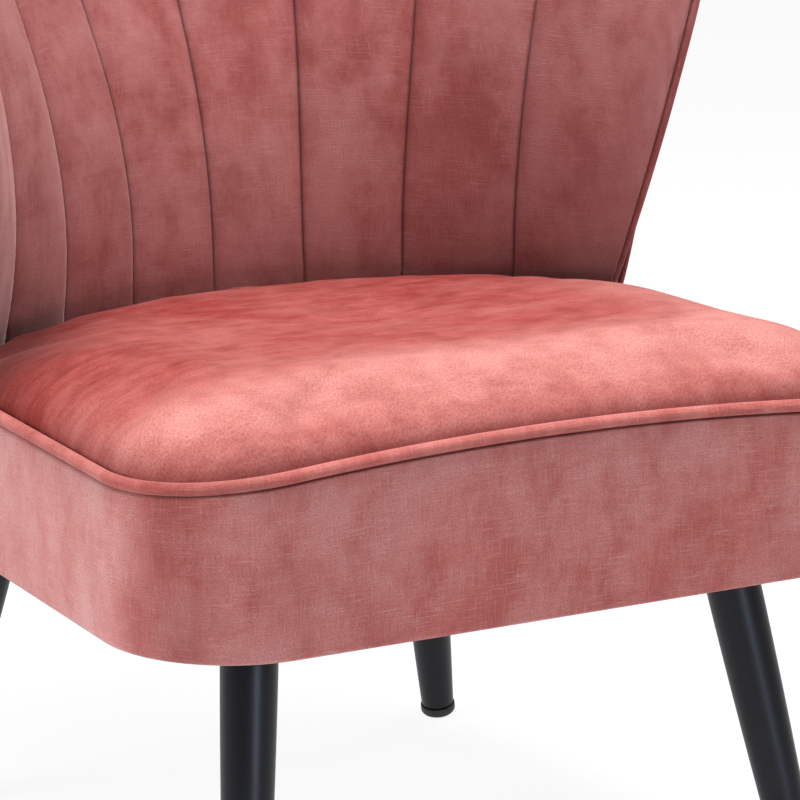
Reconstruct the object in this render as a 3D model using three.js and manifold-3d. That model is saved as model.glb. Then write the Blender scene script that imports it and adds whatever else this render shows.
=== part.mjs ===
// Slipper chair: a tight crowned seat in a piped box, a back sewn in upright channels, and splayed legs.
// Lengths are millimetres. The floor is z = 0 and the seat faces -Y.
// Depths count back from the front of the seat box until the last lines centre the chair.
import * as THREE from 'three';
import { mergeVertices } from 'three/addons/utils/BufferGeometryUtils.js';
import Module from 'manifold-3d';

const wasm = await Module();
wasm.setup();

// Fits
const fitGap = 0.3;
const layerGap = 1;
const cutOverrun = 3;

// Seat box
const seatFrontWidth = 592;
const seatSideTaper = 20;
const seatDepth = 575;
const seatFrontRadius = 96;
const seatUnderside = 257;
const bandHeight = 110;
const bandArch = 18;
const bandThickness = 8;
const seatWeltDiameter = 9;

// Seat frame
const railThickness = 18;
const railHeight = 94;
const railRise = 5;
const frontBlockRun = 46;
const frontBlockWidth = 92;
const rearBlockWidth = 57;
const strapWidth = 50;
const strapThickness = 1.5;
const strapSideGap = 29;
const strapCornerGap = 9;
const crossStraps = 3;
const dustClothThickness = 1;

// Seat cushion: heights of its crown are above the middle of the welt
const cushionGap = 0.8;
const crownFront = 59;
const crownRear = 29;
const crownRollWidth = 90;
const creaseRollWidth = 40;
const creaseRise = 17;
const creaseSideRise = 5;
const coverThickness = 4;

// Back, on the line of the seams of its inner face
const backRise = 390;
const backSetback = 68;
const bendRise = 44;
const bendRadius = 400;
const backLean = THREE.MathUtils.degToRad(28);
const wingShoulderRise = 200;
const wingRise = 250;
const wingSeatInset = 8;
const wingTopSpread = 24;
const wingSeatSetback = 215;
const wingTopSetback = 279;
const planSquareShare = 0.09;
const rimSquareness = 3;
const seamHeightShares = [0, 0.32, 0.64, 1];
const seamShares = [
  [0.272, 0.534, 0.795],
  [0.278, 0.529, 0.764],
  [0.318, 0.58, 0.787],
  [0.345, 0.61, 0.82],
];
const channelsEachSide = 4;

// Back layers, from the sitter's side outwards
const fluteCrown = 7;
const padThickness = 20;
const padEdgeThickness = 3;
const padTaperWidth = 90;
const padRollWidth = 28;
const padRollDepth = 2;
const fluteFullnessShare = 0.75;
const boardThickness = 7;
const boardInset = 10;
const backWeltDiameter = 8;
const outerGap = 1.6;
const weltRoomGap = 1.8;
const outerThickness = 4.5;
const outerInset = 2;
const outerHollowDepth = 26;
const outerHollowFadeRise = 70;
const outerHollowEndRise = 290;
const outerFlareHeight = 130;

// Uprights and brackets that hold the back to the seat
const uprightWidth = 38;
const uprightStrapGap = 33;
const uprightBlockGap = 6;
const uprightFootRise = 38;
const uprightTopRise = 120;
const uprightLeastThickness = 10;
const bracketWidth = 30;
const bracketThickness = 4;
const bracketFootRise = 23;
const bracketTopRise = 50;
const boltDiameter = 8;
const boltHeadDiameter = 16;
const boltHeadHeight = 4.5;
const railBoltDrop = 40;
const uprightBoltDrop = 34;
const boltDepthShare = 0.8;

// Legs: where the middle of each upper end lies, and how far the foot splays from there
const legFrontInset = 102;
const legFrontSetback = 83;
const legFrontSplayWidth = 37;
const legFrontSplayDepth = 60;
const legRearInset = 43.2;
const legRearTurn = THREE.MathUtils.degToRad(57.3);
const legRearSplayWidth = 50;
const legRearSplayDepth = 44;
const legTopDiameter = 40;
const legFootDiameter = 26;
const legWall = 1.5;
const plateDiameter = 64;
const plateThickness = 3;
const plateScrews = 4;
const plateLapWidth = 2;
const screwDiameter = 4;
const screwLength = 18;
const screwHeadDiameter = 7.5;
const screwHeadHeight = 2;
const glideDiameter = 28;
const glideDomeHeight = 6;
const glideCollarHeight = 5;
const glideFlatDepth = 1;
const glideSpigotLength = 14;

// Facets
const roundSides = 20;
const cornerSteps = 8;
const frontSteps = 6;
const channelSteps = 4;
const backRows = 12;
const cushionEdgeShares = [0, 0.03, 0.09, 0.18, 0.3, 0.48, 0.72];
const weltSides = 4;
const weltSteps = 88;
const rimSteps = 40;
const reachSteps = 24;
const wingSteps = 6;
const wingSpacing = 3;
const probeShare = 0.001;

// Sizes that follow
const half = 0.5;
const quarter = Math.PI * half;
const sideSlope = seatSideTaper / seatDepth;
const sideStretch = Math.hypot(1, sideSlope);
const sideAngle = Math.atan(sideSlope);
const seatRearHalfWidth = seatFrontWidth * half - seatSideTaper;
const uprightInner = strapWidth * half + uprightStrapGap;
const uprightOuter = uprightInner + uprightWidth;
const seatRearHalfRun = uprightOuter + uprightBlockGap;
const seatRearRadius = (seatRearHalfWidth - seatRearHalfRun) / (sideStretch - sideSlope);
const lengthStrapPitch = uprightOuter + strapSideGap + strapWidth * half;
const crossStrapFirst = seatFrontRadius + strapCornerGap + strapWidth * half;
const crossStrapLast = seatDepth - seatRearRadius - strapWidth * half;
const railBottom = seatUnderside + railRise;
const railTop = railBottom + railHeight;
const bandTop = seatUnderside + bandHeight;
const weltRadius = seatWeltDiameter * half;
const weltLevel = bandTop + fitGap + weltRadius;
const weltInset = bandThickness - weltRadius;
const railInset = bandThickness + fitGap;
const cushionInset = bandThickness + cushionGap;
const cushionBase = railTop + (strapThickness + fitGap) * 2 + fitGap;
const bendHeight = railTop + bendRise;
const backDepth = seatDepth - backSetback;
const wingSeatDepth = seatDepth - wingSeatSetback;
const wingTopDepth = seatDepth - wingTopSetback;
const wingSeatHalfWidth = seatRearHalfWidth - wingSeatInset;
const wingTopHalfWidth = seatRearHalfWidth + wingTopSpread;
const backFoot = weltLevel + weltRadius + fitGap;
const padFoot = bandTop + fitGap;
const railInnerFace = seatDepth - railInset - railThickness;
const bracketRear = railInnerFace - fitGap;
const uprightRear = bracketRear - bracketThickness - fitGap;
const uprightMiddle = uprightInner + uprightWidth * half;
const uprightFoot = railBottom + uprightFootRise;
const uprightTop = bendHeight + uprightTopRise;
const bracketFoot = railBottom + bracketFootRise;
const bracketTop = bendHeight + bracketTopRise;
const railBoltLevel = railTop - railBoltDrop;
const uprightBoltLevel = bracketTop - uprightBoltDrop;

const chair = new THREE.Group();

// Materials
const finish = (color, roughness, metalness = 0) => {
  return new THREE.MeshStandardMaterial({ color, roughness, metalness });
};
const seatVelvet = () => finish(0xc9605f, 0.8);
const backVelvet = () => finish(0xb65a5a, 0.85);
const foam = () => finish(0xe9dfc0, 0.95);
const timber = () => finish(0xc8a878, 0.75);
const plywood = () => finish(0xb98f5c, 0.7);
const webbing = () => finish(0x2b2b2b, 0.9);
const lining = () => finish(0x222124, 0.95);
const blackSteel = () => finish(0x232429, 0.45, 0.6);
const zincSteel = () => finish(0xa9acb0, 0.35, 0.9);
const blackPlastic = () => finish(0x151517, 0.5);

// Gives a mesh its name and material, with every facet turned outwards.
function addPiece(name, geometry, material) {
  const mesh = new THREE.Mesh(facingOut(geometry), material);
  mesh.name = name;
  chair.add(mesh);
  return mesh;
}

// Turns a closed surface the right way round when its signed volume is negative.
function facingOut(geometry) {
  const solid = geometry.index ? geometry.toNonIndexed() : geometry;
  const place = solid.getAttribute('position');
  const corner = [0, 1, 2].map(() => new THREE.Vector3());
  let volume = 0;
  for (let i = 0; i < place.count; i += corner.length) {
    corner.forEach((point, k) => point.fromBufferAttribute(place, i + k));
    volume += corner[0].dot(corner[1].clone().cross(corner[2]));
  }
  if (volume < 0) {
    for (let i = 0; i < place.count; i += corner.length) {
      corner.forEach((point, k) => point.fromBufferAttribute(place, i + k));
      const [, second, third] = corner;
      [third, second].forEach((point, k) => place.setXYZ(i + 1 + k, point.x, point.y, point.z));
    }
  }
  solid.computeVertexNormals();
  return solid;
}

// Makes a geometry from points and faces of three or four point numbers.
// Each four is split along its shorter diagonal.
function surfaceOf(points, faces) {
  const geometry = new THREE.BufferGeometry().setFromPoints(points);
  const index = [];
  for (const [a, b, c, d] of faces) {
    if (d === undefined) index.push(a, b, c);
    else if (points[a].distanceTo(points[c]) <= points[b].distanceTo(points[d])) index.push(a, b, c, a, c, d);
    else index.push(a, b, d, b, c, d);
  }
  geometry.setIndex(index);
  return geometry;
}

// Closed solid between two grids of points that have the same columns and rows.
function slabBetween(front, rear) {
  const columns = front.length;
  const rows = front[0].length;
  const points = [...front.flat(), ...rear.flat()];
  const at = (side, i, j) => side * columns * rows + i * rows + j;
  const faces = [];
  for (let i = 0; i + 1 < columns; i++) {
    for (let j = 0; j + 1 < rows; j++) {
      faces.push([at(0, i, j), at(0, i + 1, j), at(0, i + 1, j + 1), at(0, i, j + 1)]);
      faces.push([at(1, i, j), at(1, i, j + 1), at(1, i + 1, j + 1), at(1, i + 1, j)]);
    }
    faces.push([at(0, i, 0), at(1, i, 0), at(1, i + 1, 0), at(0, i + 1, 0)]);
    faces.push([at(0, i, rows - 1), at(0, i + 1, rows - 1), at(1, i + 1, rows - 1), at(1, i, rows - 1)]);
  }
  const last = columns - 1;
  for (let j = 0; j + 1 < rows; j++) {
    faces.push([at(0, 0, j), at(0, 0, j + 1), at(1, 0, j + 1), at(1, 0, j)]);
    faces.push([at(0, last, j), at(1, last, j), at(1, last, j + 1), at(0, last, j + 1)]);
  }
  return surfaceOf(points, faces);
}

// Closed solid through rings of points: it ends in a point or closes back on its first ring.
function solidOfRings(rings, tips) {
  const count = rings[0].length;
  const points = [...rings.flat(), ...tips];
  const faces = [];
  const strips = tips.length ? rings.length - 1 : rings.length;
  for (let k = 0; k < strips; k++) {
    const next = (k + 1) % rings.length;
    for (let i = 0; i < count; i++) {
      const j = (i + 1) % count;
      faces.push([k * count + i, k * count + j, next * count + j, next * count + i]);
    }
  }
  tips.forEach((tip, side) => {
    const ring = side ? rings.length - 1 : 0;
    for (let i = 0; i < count; i++) {
      const pair = [ring * count + i, ring * count + (i + 1) % count];
      faces.push([rings.length * count + side, ...(side ? pair : pair.reverse())]);
    }
  });
  return surfaceOf(points, faces);
}

// Reads a geometry as a solid that can be joined and cut.
function solidFrom(geometry) {
  const plain = geometry.clone();
  plain.deleteAttribute('normal');
  plain.deleteAttribute('uv');
  const merged = mergeVertices(plain);
  const vertProperties = new Float32Array(merged.getAttribute('position').array);
  const triVerts = new Uint32Array(merged.index.array);
  return new wasm.Manifold(new wasm.Mesh({ numProp: 3, vertProperties, triVerts }));
}

// Writes a solid back as a geometry.
function geometryFrom(solid) {
  const mesh = solid.getMesh();
  const geometry = new THREE.BufferGeometry();
  geometry.setAttribute('position', new THREE.BufferAttribute(new Float32Array(mesh.vertProperties), 3));
  geometry.setIndex(Array.from(mesh.triVerts));
  return geometry;
}

// Cuts one geometry by others.
function cutBy(geometry, tools) {
  const body = tools.reduce((rest, tool) => rest.subtract(solidFrom(tool)), solidFrom(geometry));
  return geometryFrom(body);
}

// Prism of a plan shape between two heights.
function prism(shape, low, high) {
  const options = { depth: high - low, bevelEnabled: false, curveSegments: 1 };
  return new THREE.ExtrudeGeometry(shape, options).translate(0, 0, low);
}

// Upright cylinder between two heights.
function post(x, y, diameter, low, high) {
  const radius = diameter * half;
  const geometry = new THREE.CylinderGeometry(radius, radius, high - low, roundSides * half);
  return geometry.rotateX(quarter).translate(x, y, (low + high) * half);
}

// Round tube along a curve.
function tubeAlong(curve, diameter, steps) {
  const section = new THREE.Shape().absarc(0, 0, diameter * half, 0, Math.PI * 2);
  return new THREE.ExtrudeGeometry(section, { steps, curveSegments: weltSides, extrudePath: curve });
}

// Seat plan

// Half width of the seat box at a depth, inside a wall of the given inset.
function seatHalfAt(y, inset) {
  return seatFrontWidth * half - sideSlope * y - inset * sideStretch;
}

// Middle of the rounded corner at the front or the rear of the right side.
function cornerMiddle(rear) {
  const radius = rear ? seatRearRadius : seatFrontRadius;
  const y = rear ? seatDepth - radius : radius;
  return { x: seatHalfAt(y, radius), y, radius };
}

// Points round one right-hand corner, from the front of the chair to the rear.
function cornerArc(rear, inset) {
  const { x, y, radius } = cornerMiddle(rear);
  const from = rear ? sideAngle : -quarter;
  const to = rear ? quarter : sideAngle;
  const points = [];
  for (let k = 0; k <= cornerSteps; k++) {
    const angle = from + (to - from) * k / cornerSteps;
    const reach = radius - inset;
    points.push(new THREE.Vector2(x + reach * Math.cos(angle), y + reach * Math.sin(angle)));
  }
  return points;
}

// Right half of the seat's plan outline, from the front centre to the rear centre.
function seatHalfOutline(inset) {
  const front = [];
  const corner = cornerMiddle(false);
  for (let k = 0; k < frontSteps; k++) front.push(new THREE.Vector2(corner.x * k / frontSteps, inset));
  const rearMiddle = new THREE.Vector2(0, seatDepth - inset);
  return [...front, ...cornerArc(false, inset), ...cornerArc(true, inset), rearMiddle];
}

// Whole plan outline, anticlockwise from the front centre.
function seatOutline(inset) {
  const right = seatHalfOutline(inset);
  const left = right.slice(1, -1).map((point) => new THREE.Vector2(-point.x, point.y)).reverse();
  return [...right, ...left];
}

// How far the top of the band arches up at a place on the seat's edge.
function archAt(point) {
  const across = point.x / (seatFrontWidth * half);
  const along = THREE.MathUtils.clamp(1 - point.y / seatDepth, 0, 1);
  return bandArch * Math.max(1 - across * across, 0) * along * along;
}

// Greatest depth of the plan at a distance from the centre line.
function rearDepthAt(x, inset) {
  const corner = cornerMiddle(true);
  const over = Math.max(x - corner.x, 0);
  return corner.y + Math.sqrt(Math.max((corner.radius - inset) ** 2 - over * over, 0));
}

// Back surface

// Polynomial through rows of shares, read at a share of the height.
function throughRows(places, values, at) {
  return places.reduce((sum, place, i) => {
    const others = places.filter((_, k) => k !== i);
    const weight = others.reduce((product, other) => product * (at - other) / (place - other), 1);
    return sum + weight * values[i];
  }, 0);
}

// Share of the half width that a place across the back has at a height above the bend.
function acrossShare(p, rise) {
  const at = THREE.MathUtils.clamp(rise / backRise, 0, 1);
  const shareOf = (_, i) => throughRows(seamHeightShares, seamShares.map((row) => row[i]), at);
  const inner = seamShares[0].map(shareOf);
  const seams = [0, ...inner, 1];
  const place = Math.min(Math.abs(p), 1) * channelsEachSide;
  const channel = Math.min(Math.floor(place), channelsEachSide - 1);
  return THREE.MathUtils.lerp(seams[channel], seams[channel + 1], place - channel);
}

// Depth of the back's centre line: upright to the bend, an arc, then a straight lean.
function centreDepth(rise) {
  const arcTop = bendRadius * Math.sin(backLean);
  if (rise <= 0) return backDepth;
  if (rise < arcTop) return backDepth + bendRadius - Math.sqrt(bendRadius ** 2 - rise ** 2);
  return backDepth + bendRadius * (1 - Math.cos(backLean)) + (rise - arcTop) * Math.tan(backLean);
}

// Point on the seam line surface: p runs across from -1 to 1, rise is the height above the bend.
function backPoint(p, rise) {
  const up = rise / wingRise;
  const halfWidth = wingSeatHalfWidth + (wingTopHalfWidth - wingSeatHalfWidth) * up * up;
  const wingDepth = wingTopDepth + (wingSeatDepth - wingTopDepth) * (1 - up) ** 2;
  const across = acrossShare(p, rise);
  const curve = (1 - planSquareShare) * across ** 2 + planSquareShare * across ** 4;
  const depth = centreDepth(rise);
  const x = Math.sign(p) * halfWidth * across;
  return new THREE.Vector3(x, depth - (depth - wingDepth) * curve, bendHeight + rise);
}

// Direction square to the back surface, away from the sitter.
function backNormal(p, rise) {
  const inside = THREE.MathUtils.clamp(p, -1 + probeShare, 1 - probeShare);
  const step = probeShare * backRise;
  const sideways = backPoint(inside + probeShare, rise).sub(backPoint(inside - probeShare, rise));
  const upwards = backPoint(inside, rise + step).sub(backPoint(inside, rise - step));
  return upwards.cross(sideways).normalize();
}

// Length of half the back's plan curve at the bend.
const backReach = [...Array(reachSteps).keys()].reduce((sum, k) => {
  return sum + backPoint(k / reachSteps, 0).distanceTo(backPoint((k + 1) / reachSteps, 0));
}, 0);

// Height of the rim above the bend: a superellipse from the wings' shoulders over the top.
function rimRise(p) {
  const share = Math.max(1 - Math.abs(p) ** rimSquareness, 0) ** (1 / rimSquareness);
  return wingShoulderRise + (backRise - wingShoulderRise) * share;
}

// Distance from a place on the back to its nearest free edge.
function edgeDistance(p, rise) {
  const side = backPoint(p, rise).distanceTo(backPoint(p < 0 ? -1 : 1, rise));
  return Math.max(Math.min(side, rimRise(p) - rise), 0);
}

// One at the free edge and none at the given distance from it, in a quarter round.
function rollAt(distance, width) {
  const share = 1 - Math.min(distance / width, 1);
  return 1 - Math.sqrt(Math.max(1 - share * share, 0));
}

// Smooth step from none at the first value to one at the second.
function easeBetween(value, from, to) {
  return THREE.MathUtils.smoothstep(value, Math.min(from, to), Math.max(from, to));
}

// How far behind the seam surface the pad ends.
function padDepth(p, rise) {
  const share = 1 - Math.min(edgeDistance(p, rise) / padTaperWidth, 1);
  return padThickness - (padThickness - padEdgeThickness) * share * share;
}

// How far behind the seam surface the outer cover begins.
function outerDepth(p, rise) {
  const low = 1 - easeBetween(rise, outerHollowFadeRise, outerHollowEndRise);
  const hollow = outerHollowDepth * low * (1 - p ** 4);
  const room = weltRoomGap * rollAt(edgeDistance(p, rise), padRollWidth);
  return padDepth(p, rise) + layerGap + boardThickness + outerGap + hollow + room;
}

// Place on the plan outline that the outer cover starts from, by its share of the way to the wing's edge.
function outlinePlace(p, inset) {
  const start = backPoint(1, backFoot - bendHeight).y;
  const path = seatHalfOutline(inset).filter((point) => point.y > start);
  path.unshift(new THREE.Vector2(seatHalfAt(start, inset), start));
  path.reverse();
  const lengths = path.slice(1).map((point, i) => point.distanceTo(path[i]));
  let rest = Math.abs(p) * lengths.reduce((sum, length) => sum + length, 0);
  let i = 0;
  while (i + 1 < lengths.length && rest > lengths[i]) {
    rest -= lengths[i];
    i += 1;
  }
  const found = path[i].clone().lerp(path[i + 1], rest / lengths[i]);
  return new THREE.Vector2(Math.sign(p) * found.x, found.y);
}

// Point of a layer of the back at a depth behind the seam surface.
function layerPoint(p, rise, depth) {
  return backPoint(p, rise).addScaledVector(backNormal(p, rise), depth);
}

// Point of the outer cover: flush with the seat box at its foot, parallel to the seam surface higher up.
function outerPoint(p, rise, skin) {
  const shell = layerPoint(p, rise, outerDepth(p, rise) + skin);
  const foot = outlinePlace(p, outerThickness - skin);
  const share = easeBetween(bendHeight + rise, backFoot, backFoot + outerFlareHeight);
  return new THREE.Vector3(foot.x, foot.y, bendHeight + rise).lerp(shell, share);
}

// Places across one channel, closer together towards a wing's edge.
function channelPlaces(index) {
  const from = index / channelsEachSide;
  const to = (index + 1) / channelsEachSide;
  const wing = index + 1 === channelsEachSide || index === -channelsEachSide;
  const places = [];
  const steps = wing ? wingSteps : channelSteps;
  for (let k = 0; k <= steps; k++) {
    const share = k / steps;
    const eased = index < 0 ? share ** wingSpacing : 1 - (1 - share) ** wingSpacing;
    places.push(THREE.MathUtils.lerp(from, to, wing ? eased : share));
  }
  return places;
}

// All places across the back, with one on every seam.
function backPlaces() {
  const places = [-1];
  for (let c = -channelsEachSide; c < channelsEachSide; c++) {
    places.push(...channelPlaces(c).slice(1));
  }
  return places;
}

// Grid of points over the back, from a foot height to the rim, drawn in from the free edges by an inset.
function backGrid(places, foot, inset, pointAt) {
  const drawn = 1 - inset / backReach;
  return places.map((p) => {
    const low = foot - bendHeight;
    const high = rimRise(p) - inset;
    const column = [];
    for (let j = 0; j <= backRows; j++) {
      const share = 1 - (1 - j / backRows) ** (1 + half);
      column.push(pointAt(p * drawn, low + (high - low) * share));
    }
    return column;
  });
}

// Seat pieces

// Upholstered band round the seat box, with its top arched along the front.
function makeBand() {
  const outer = seatOutline(0);
  const inner = seatOutline(bandThickness);
  const ring = (outline, high) => outline.map((point, i) => {
    return new THREE.Vector3(point.x, point.y, high ? bandTop + archAt(outer[i]) : seatUnderside);
  });
  const rings = [ring(outer, false), ring(outer, true), ring(inner, true), ring(inner, false)];
  addPiece('seat_band', solidOfRings(rings, []), seatVelvet());
}

// Welt along the band's top edge, all the way round.
function makeSeatWelt() {
  const edge = seatOutline(0);
  const rings = [];
  for (let k = 0; k < weltSides * 2; k++) {
    const angle = quarter * 2 * k / weltSides;
    const outline = seatOutline(weltInset + weltRadius * Math.cos(angle));
    const level = weltLevel + weltRadius * Math.sin(angle);
    rings.push(outline.map((point, i) => new THREE.Vector3(point.x, point.y, level + archAt(edge[i]))));
  }
  addPiece('seat_welt', solidOfRings(rings, []), seatVelvet());
}

// Plan outline of the cushion: the band inside the welt, then the foot of the back's inner face.
function cushionOutline(inset) {
  const start = backPoint(1, 0);
  const front = seatHalfOutline(cushionInset + inset).filter((point) => point.y < start.y);
  const sideX = seatHalfAt(start.y, cushionInset + inset);
  const right = front.map((point) => ({ x: point.x, y: point.y, rear: 0 }));
  right.push({ x: sideX, y: start.y - inset, rear: 0 });
  const places = backPlaces().filter((p) => p >= 0).reverse();
  for (const p of places) {
    const point = layerPoint(p, 0, -(fluteCrown + cushionGap + inset));
    right.push({ x: Math.min(point.x, sideX - fitGap), y: point.y, rear: 1 });
  }
  right[right.length - 1].x = 0;
  const left = right.slice(1, -1).map((point) => ({ x: -point.x, y: point.y, rear: point.rear })).reverse();
  return [...right, ...left];
}

// Distance from a point to the part of an outline that lies against the back, or to the rest of it.
function outlineDistance(x, y, outline, rear) {
  let best = Infinity;
  outline.forEach((from, i) => {
    const to = outline[(i + 1) % outline.length];
    if (rear !== (from.rear && to.rear)) return;
    const run = new THREE.Vector2(to.x - from.x, to.y - from.y);
    const away = new THREE.Vector2(x - from.x, y - from.y);
    const share = THREE.MathUtils.clamp(away.dot(run) / Math.max(run.lengthSq(), Number.EPSILON), 0, 1);
    best = Math.min(best, away.addScaledVector(run, -share).length());
  });
  return best;
}

// Height of the cushion: a crown that falls to the rear, rolled down to the welt and a little at the back.
function cushionHeight(x, y, outline, arch) {
  const back = y / backDepth;
  const crown = weltLevel + THREE.MathUtils.lerp(crownFront, crownRear, back);
  const sideWidth = THREE.MathUtils.lerp(crownRollWidth, creaseRollWidth, back);
  const sideRoll = rollAt(outlineDistance(x, y, outline, 0), sideWidth);
  const rearRoll = rollAt(outlineDistance(x, y, outline, 1), crownRollWidth);
  const across = x / wingSeatHalfWidth;
  const rearDrop = crownRear - creaseRise - creaseSideRise * across * across;
  return crown - (crown - weltLevel - arch) * sideRoll - rearDrop * rearRoll * (1 - sideRoll);
}

// Rings of the cushion's surface, from its foot inwards over the crown, and the middle of the crown.
function cushionRings(inset) {
  const outline = cushionOutline(inset);
  const middle = new THREE.Vector2(0, backDepth * half);
  const rings = [outline.map((point) => new THREE.Vector3(point.x, point.y, cushionBase))];
  for (const share of cushionEdgeShares) {
    rings.push(outline.map((point) => {
      const x = THREE.MathUtils.lerp(point.x, middle.x, share);
      const y = THREE.MathUtils.lerp(point.y, middle.y, share);
      return new THREE.Vector3(x, y, cushionHeight(x, y, outline, archAt(point)) - inset);
    }));
  }
  const tip = new THREE.Vector3(middle.x, middle.y, cushionHeight(middle.x, middle.y, outline, 0) - inset);
  return { rings, tip };
}

// Cover of the seat: a crowned skin with a skirt that tucks down inside the band.
function makeSeatCover() {
  const outer = cushionRings(0);
  const inner = cushionRings(coverThickness);
  const rings = [...outer.rings.reverse(), ...inner.rings];
  addPiece('seat_top_cover', solidOfRings(rings, [outer.tip, inner.tip]), seatVelvet());
}

// Foam block under the cover, flat where it lies on the straps.
function makeSeatFoam() {
  const { rings, tip } = cushionRings(coverThickness + fitGap);
  const floor = new THREE.Vector3(tip.x, tip.y, cushionBase);
  addPiece('seat_foam', solidOfRings(rings, [floor, tip]), foam());
}

// Timber block that fills one corner of the seat box and carries a leg.
function cornerBlock(rear, side, leg) {
  const arc = cornerArc(rear, railInset);
  const run = rear ? 0 : frontBlockRun;
  const width = rear ? rearBlockWidth : frontBlockWidth;
  const first = arc[0];
  const last = arc[arc.length - 1];
  const endX = (rear ? last.x : first.x) - run;
  const endY = rear ? first.y : first.y + width + run;
  const depth = rear ? seatDepth - railInset : railInset;
  const sideX = seatHalfAt(endY, railInset);
  const inwards = rear ? -1 : 1;
  const plan = [
    new THREE.Vector2(endX, depth),
    new THREE.Vector2(endX, depth + inwards * width),
    new THREE.Vector2(rear ? sideX - width : endX + run, endY),
    new THREE.Vector2(sideX, endY),
    ...(rear ? arc.slice(1, -1) : [...arc].reverse().slice(0, -1)),
  ];
  if (!rear) plan.push(new THREE.Vector2(first.x, depth));
  const shape = new THREE.Shape(plan.map((point) => new THREE.Vector2(side * point.x, point.y)));
  const holes = screwShanks(side, leg, screwDiameter + fitGap * 2, cutOverrun);
  return cutBy(prism(shape, railBottom, railTop), holes);
}

// Shanks of the screws that hold a leg's plate up under its corner block.
function screwShanks(side, leg, diameter, extra) {
  const circle = (plateDiameter * half + legTopDiameter * half) * half;
  const shanks = [];
  for (let k = 0; k < plateScrews; k++) {
    const angle = quarter * (k + half);
    const x = side * leg.x + circle * Math.cos(angle);
    const y = leg.y + circle * Math.sin(angle);
    shanks.push(post(x, y, diameter, plateTop() - plateThickness - extra, plateTop() + screwLength + extra));
  }
  return shanks;
}

// Height of the leg plates' upper faces.
function plateTop() {
  return railBottom - fitGap * 2 - dustClothThickness;
}

// Rail with the given plan corners.
function railSolid(plan) {
  return prism(new THREE.Shape(plan.map(([x, y]) => new THREE.Vector2(x, y))), railBottom, railTop);
}

// The rails of the seat frame, each between two corner blocks.
function makeRails() {
  const inner = railInset + railThickness;
  const frontEnd = cornerArc(false, railInset)[0].x - frontBlockRun - fitGap;
  const across = (end, near, far) => railSolid([[-end, near], [end, near], [end, far], [-end, far]]);
  addPiece('rail_front', across(frontEnd, railInset, inner), timber());
  const rearEnd = cornerMiddle(true).x - fitGap;
  const rear = across(rearEnd, railInnerFace, seatDepth - railInset);
  const holes = [-1, 1].map((side) => boltHole(side * uprightMiddle, railBoltLevel));
  addPiece('rail_rear', cutBy(rear, holes), timber());
  const low = railInset + frontBlockWidth + frontBlockRun + fitGap;
  const high = cornerArc(true, railInset)[0].y - fitGap;
  for (const side of [-1, 1]) {
    const edge = (inset, y) => [side * seatHalfAt(y, inset), y];
    const plan = [edge(railInset, low), edge(inner, low), edge(inner, high), edge(railInset, high)];
    addPiece(side < 0 ? 'rail_left' : 'rail_right', railSolid(plan), timber());
  }
}

// Elastic straps that carry the foam: lengthways ones below, crossways ones on them.
function makeStraps() {
  const lowZ = railTop + fitGap;
  const highZ = lowZ + strapThickness + fitGap;
  const hem = railInset + railThickness * half;
  [-lengthStrapPitch, 0, lengthStrapPitch].forEach((x, i) => {
    const rearY = rearDepthAt(Math.abs(x) + strapWidth * half, hem);
    const strap = new THREE.BoxGeometry(strapWidth, rearY - hem, strapThickness);
    strap.translate(x, (rearY + hem) * half, lowZ + strapThickness * half);
    addPiece(`strap_length_${i + 1}`, strap, webbing());
  });
  for (let i = 0; i < crossStraps; i++) {
    const y = THREE.MathUtils.lerp(crossStrapFirst, crossStrapLast, i / (crossStraps - 1));
    const reach = seatHalfAt(y + strapWidth * half, hem);
    const strap = new THREE.BoxGeometry(reach * 2, strapWidth, strapThickness);
    strap.translate(0, y, highZ + strapThickness * half);
    addPiece(`strap_cross_${i + 1}`, strap, webbing());
  }
}

// Dust cloth under the frame, cut out over each leg plate and clamped by the plate's rim.
function makeDustCloth() {
  const shape = new THREE.Shape(seatOutline(railInset));
  for (const leg of [legTop(false), legTop(true)]) {
    for (const side of [-1, 1]) {
      const hole = new THREE.Path();
      hole.absarc(side * leg.x, leg.y, plateDiameter * half - plateLapWidth, 0, Math.PI * 2, true);
      shape.holes.push(hole);
    }
  }
  const top = railBottom - fitGap;
  const options = { depth: dustClothThickness, bevelEnabled: false, curveSegments: roundSides * half };
  const cloth = new THREE.ExtrudeGeometry(shape, options);
  addPiece('dust_cloth', cloth.translate(0, 0, top - dustClothThickness), lining());
}

// Leg pieces

// Middle of a right leg's upper end: beside the front corner's middle, or on a ray of the rear corner.
function legTop(rear) {
  if (!rear) return { x: seatHalfAt(legFrontSetback, legFrontInset), y: legFrontSetback };
  const { x, y, radius } = cornerMiddle(true);
  const reach = radius - legRearInset;
  return { x: x + reach * Math.cos(legRearTurn), y: y + reach * Math.sin(legRearTurn) };
}

// Middle of a right leg's foot.
function legFoot(rear) {
  const { x, y } = legTop(rear);
  if (rear) return { x: x + legRearSplayWidth, y: y + legRearSplayDepth };
  return { x: x + legFrontSplayWidth, y: y - legFrontSplayDepth };
}

// Line of a leg's axis through its upper end and its foot.
function legAxis(side, top, foot) {
  const upper = new THREE.Vector3(side * top.x, top.y, seatUnderside);
  const lower = new THREE.Vector3(side * foot.x, foot.y, 0);
  const down = lower.clone().sub(upper).normalize();
  const lean = Math.hypot(down.x, down.y);
  const drop = Math.hypot(glideDiameter * half * lean, glideDomeHeight * down.z);
  const domeMiddle = lower.clone().addScaledVector(down, (drop - glideFlatDepth) / down.z);
  return { upper, down, domeMiddle };
}

// Turns a lathed piece, made with its axis along +Y, to hang down a leg's axis from the dome's middle.
function alongLeg(geometry, axis) {
  const turn = new THREE.Quaternion().setFromUnitVectors(new THREE.Vector3(0, -1, 0), axis.down);
  return geometry.applyQuaternion(turn).translate(axis.domeMiddle.x, axis.domeMiddle.y, axis.domeMiddle.z);
}

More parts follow.
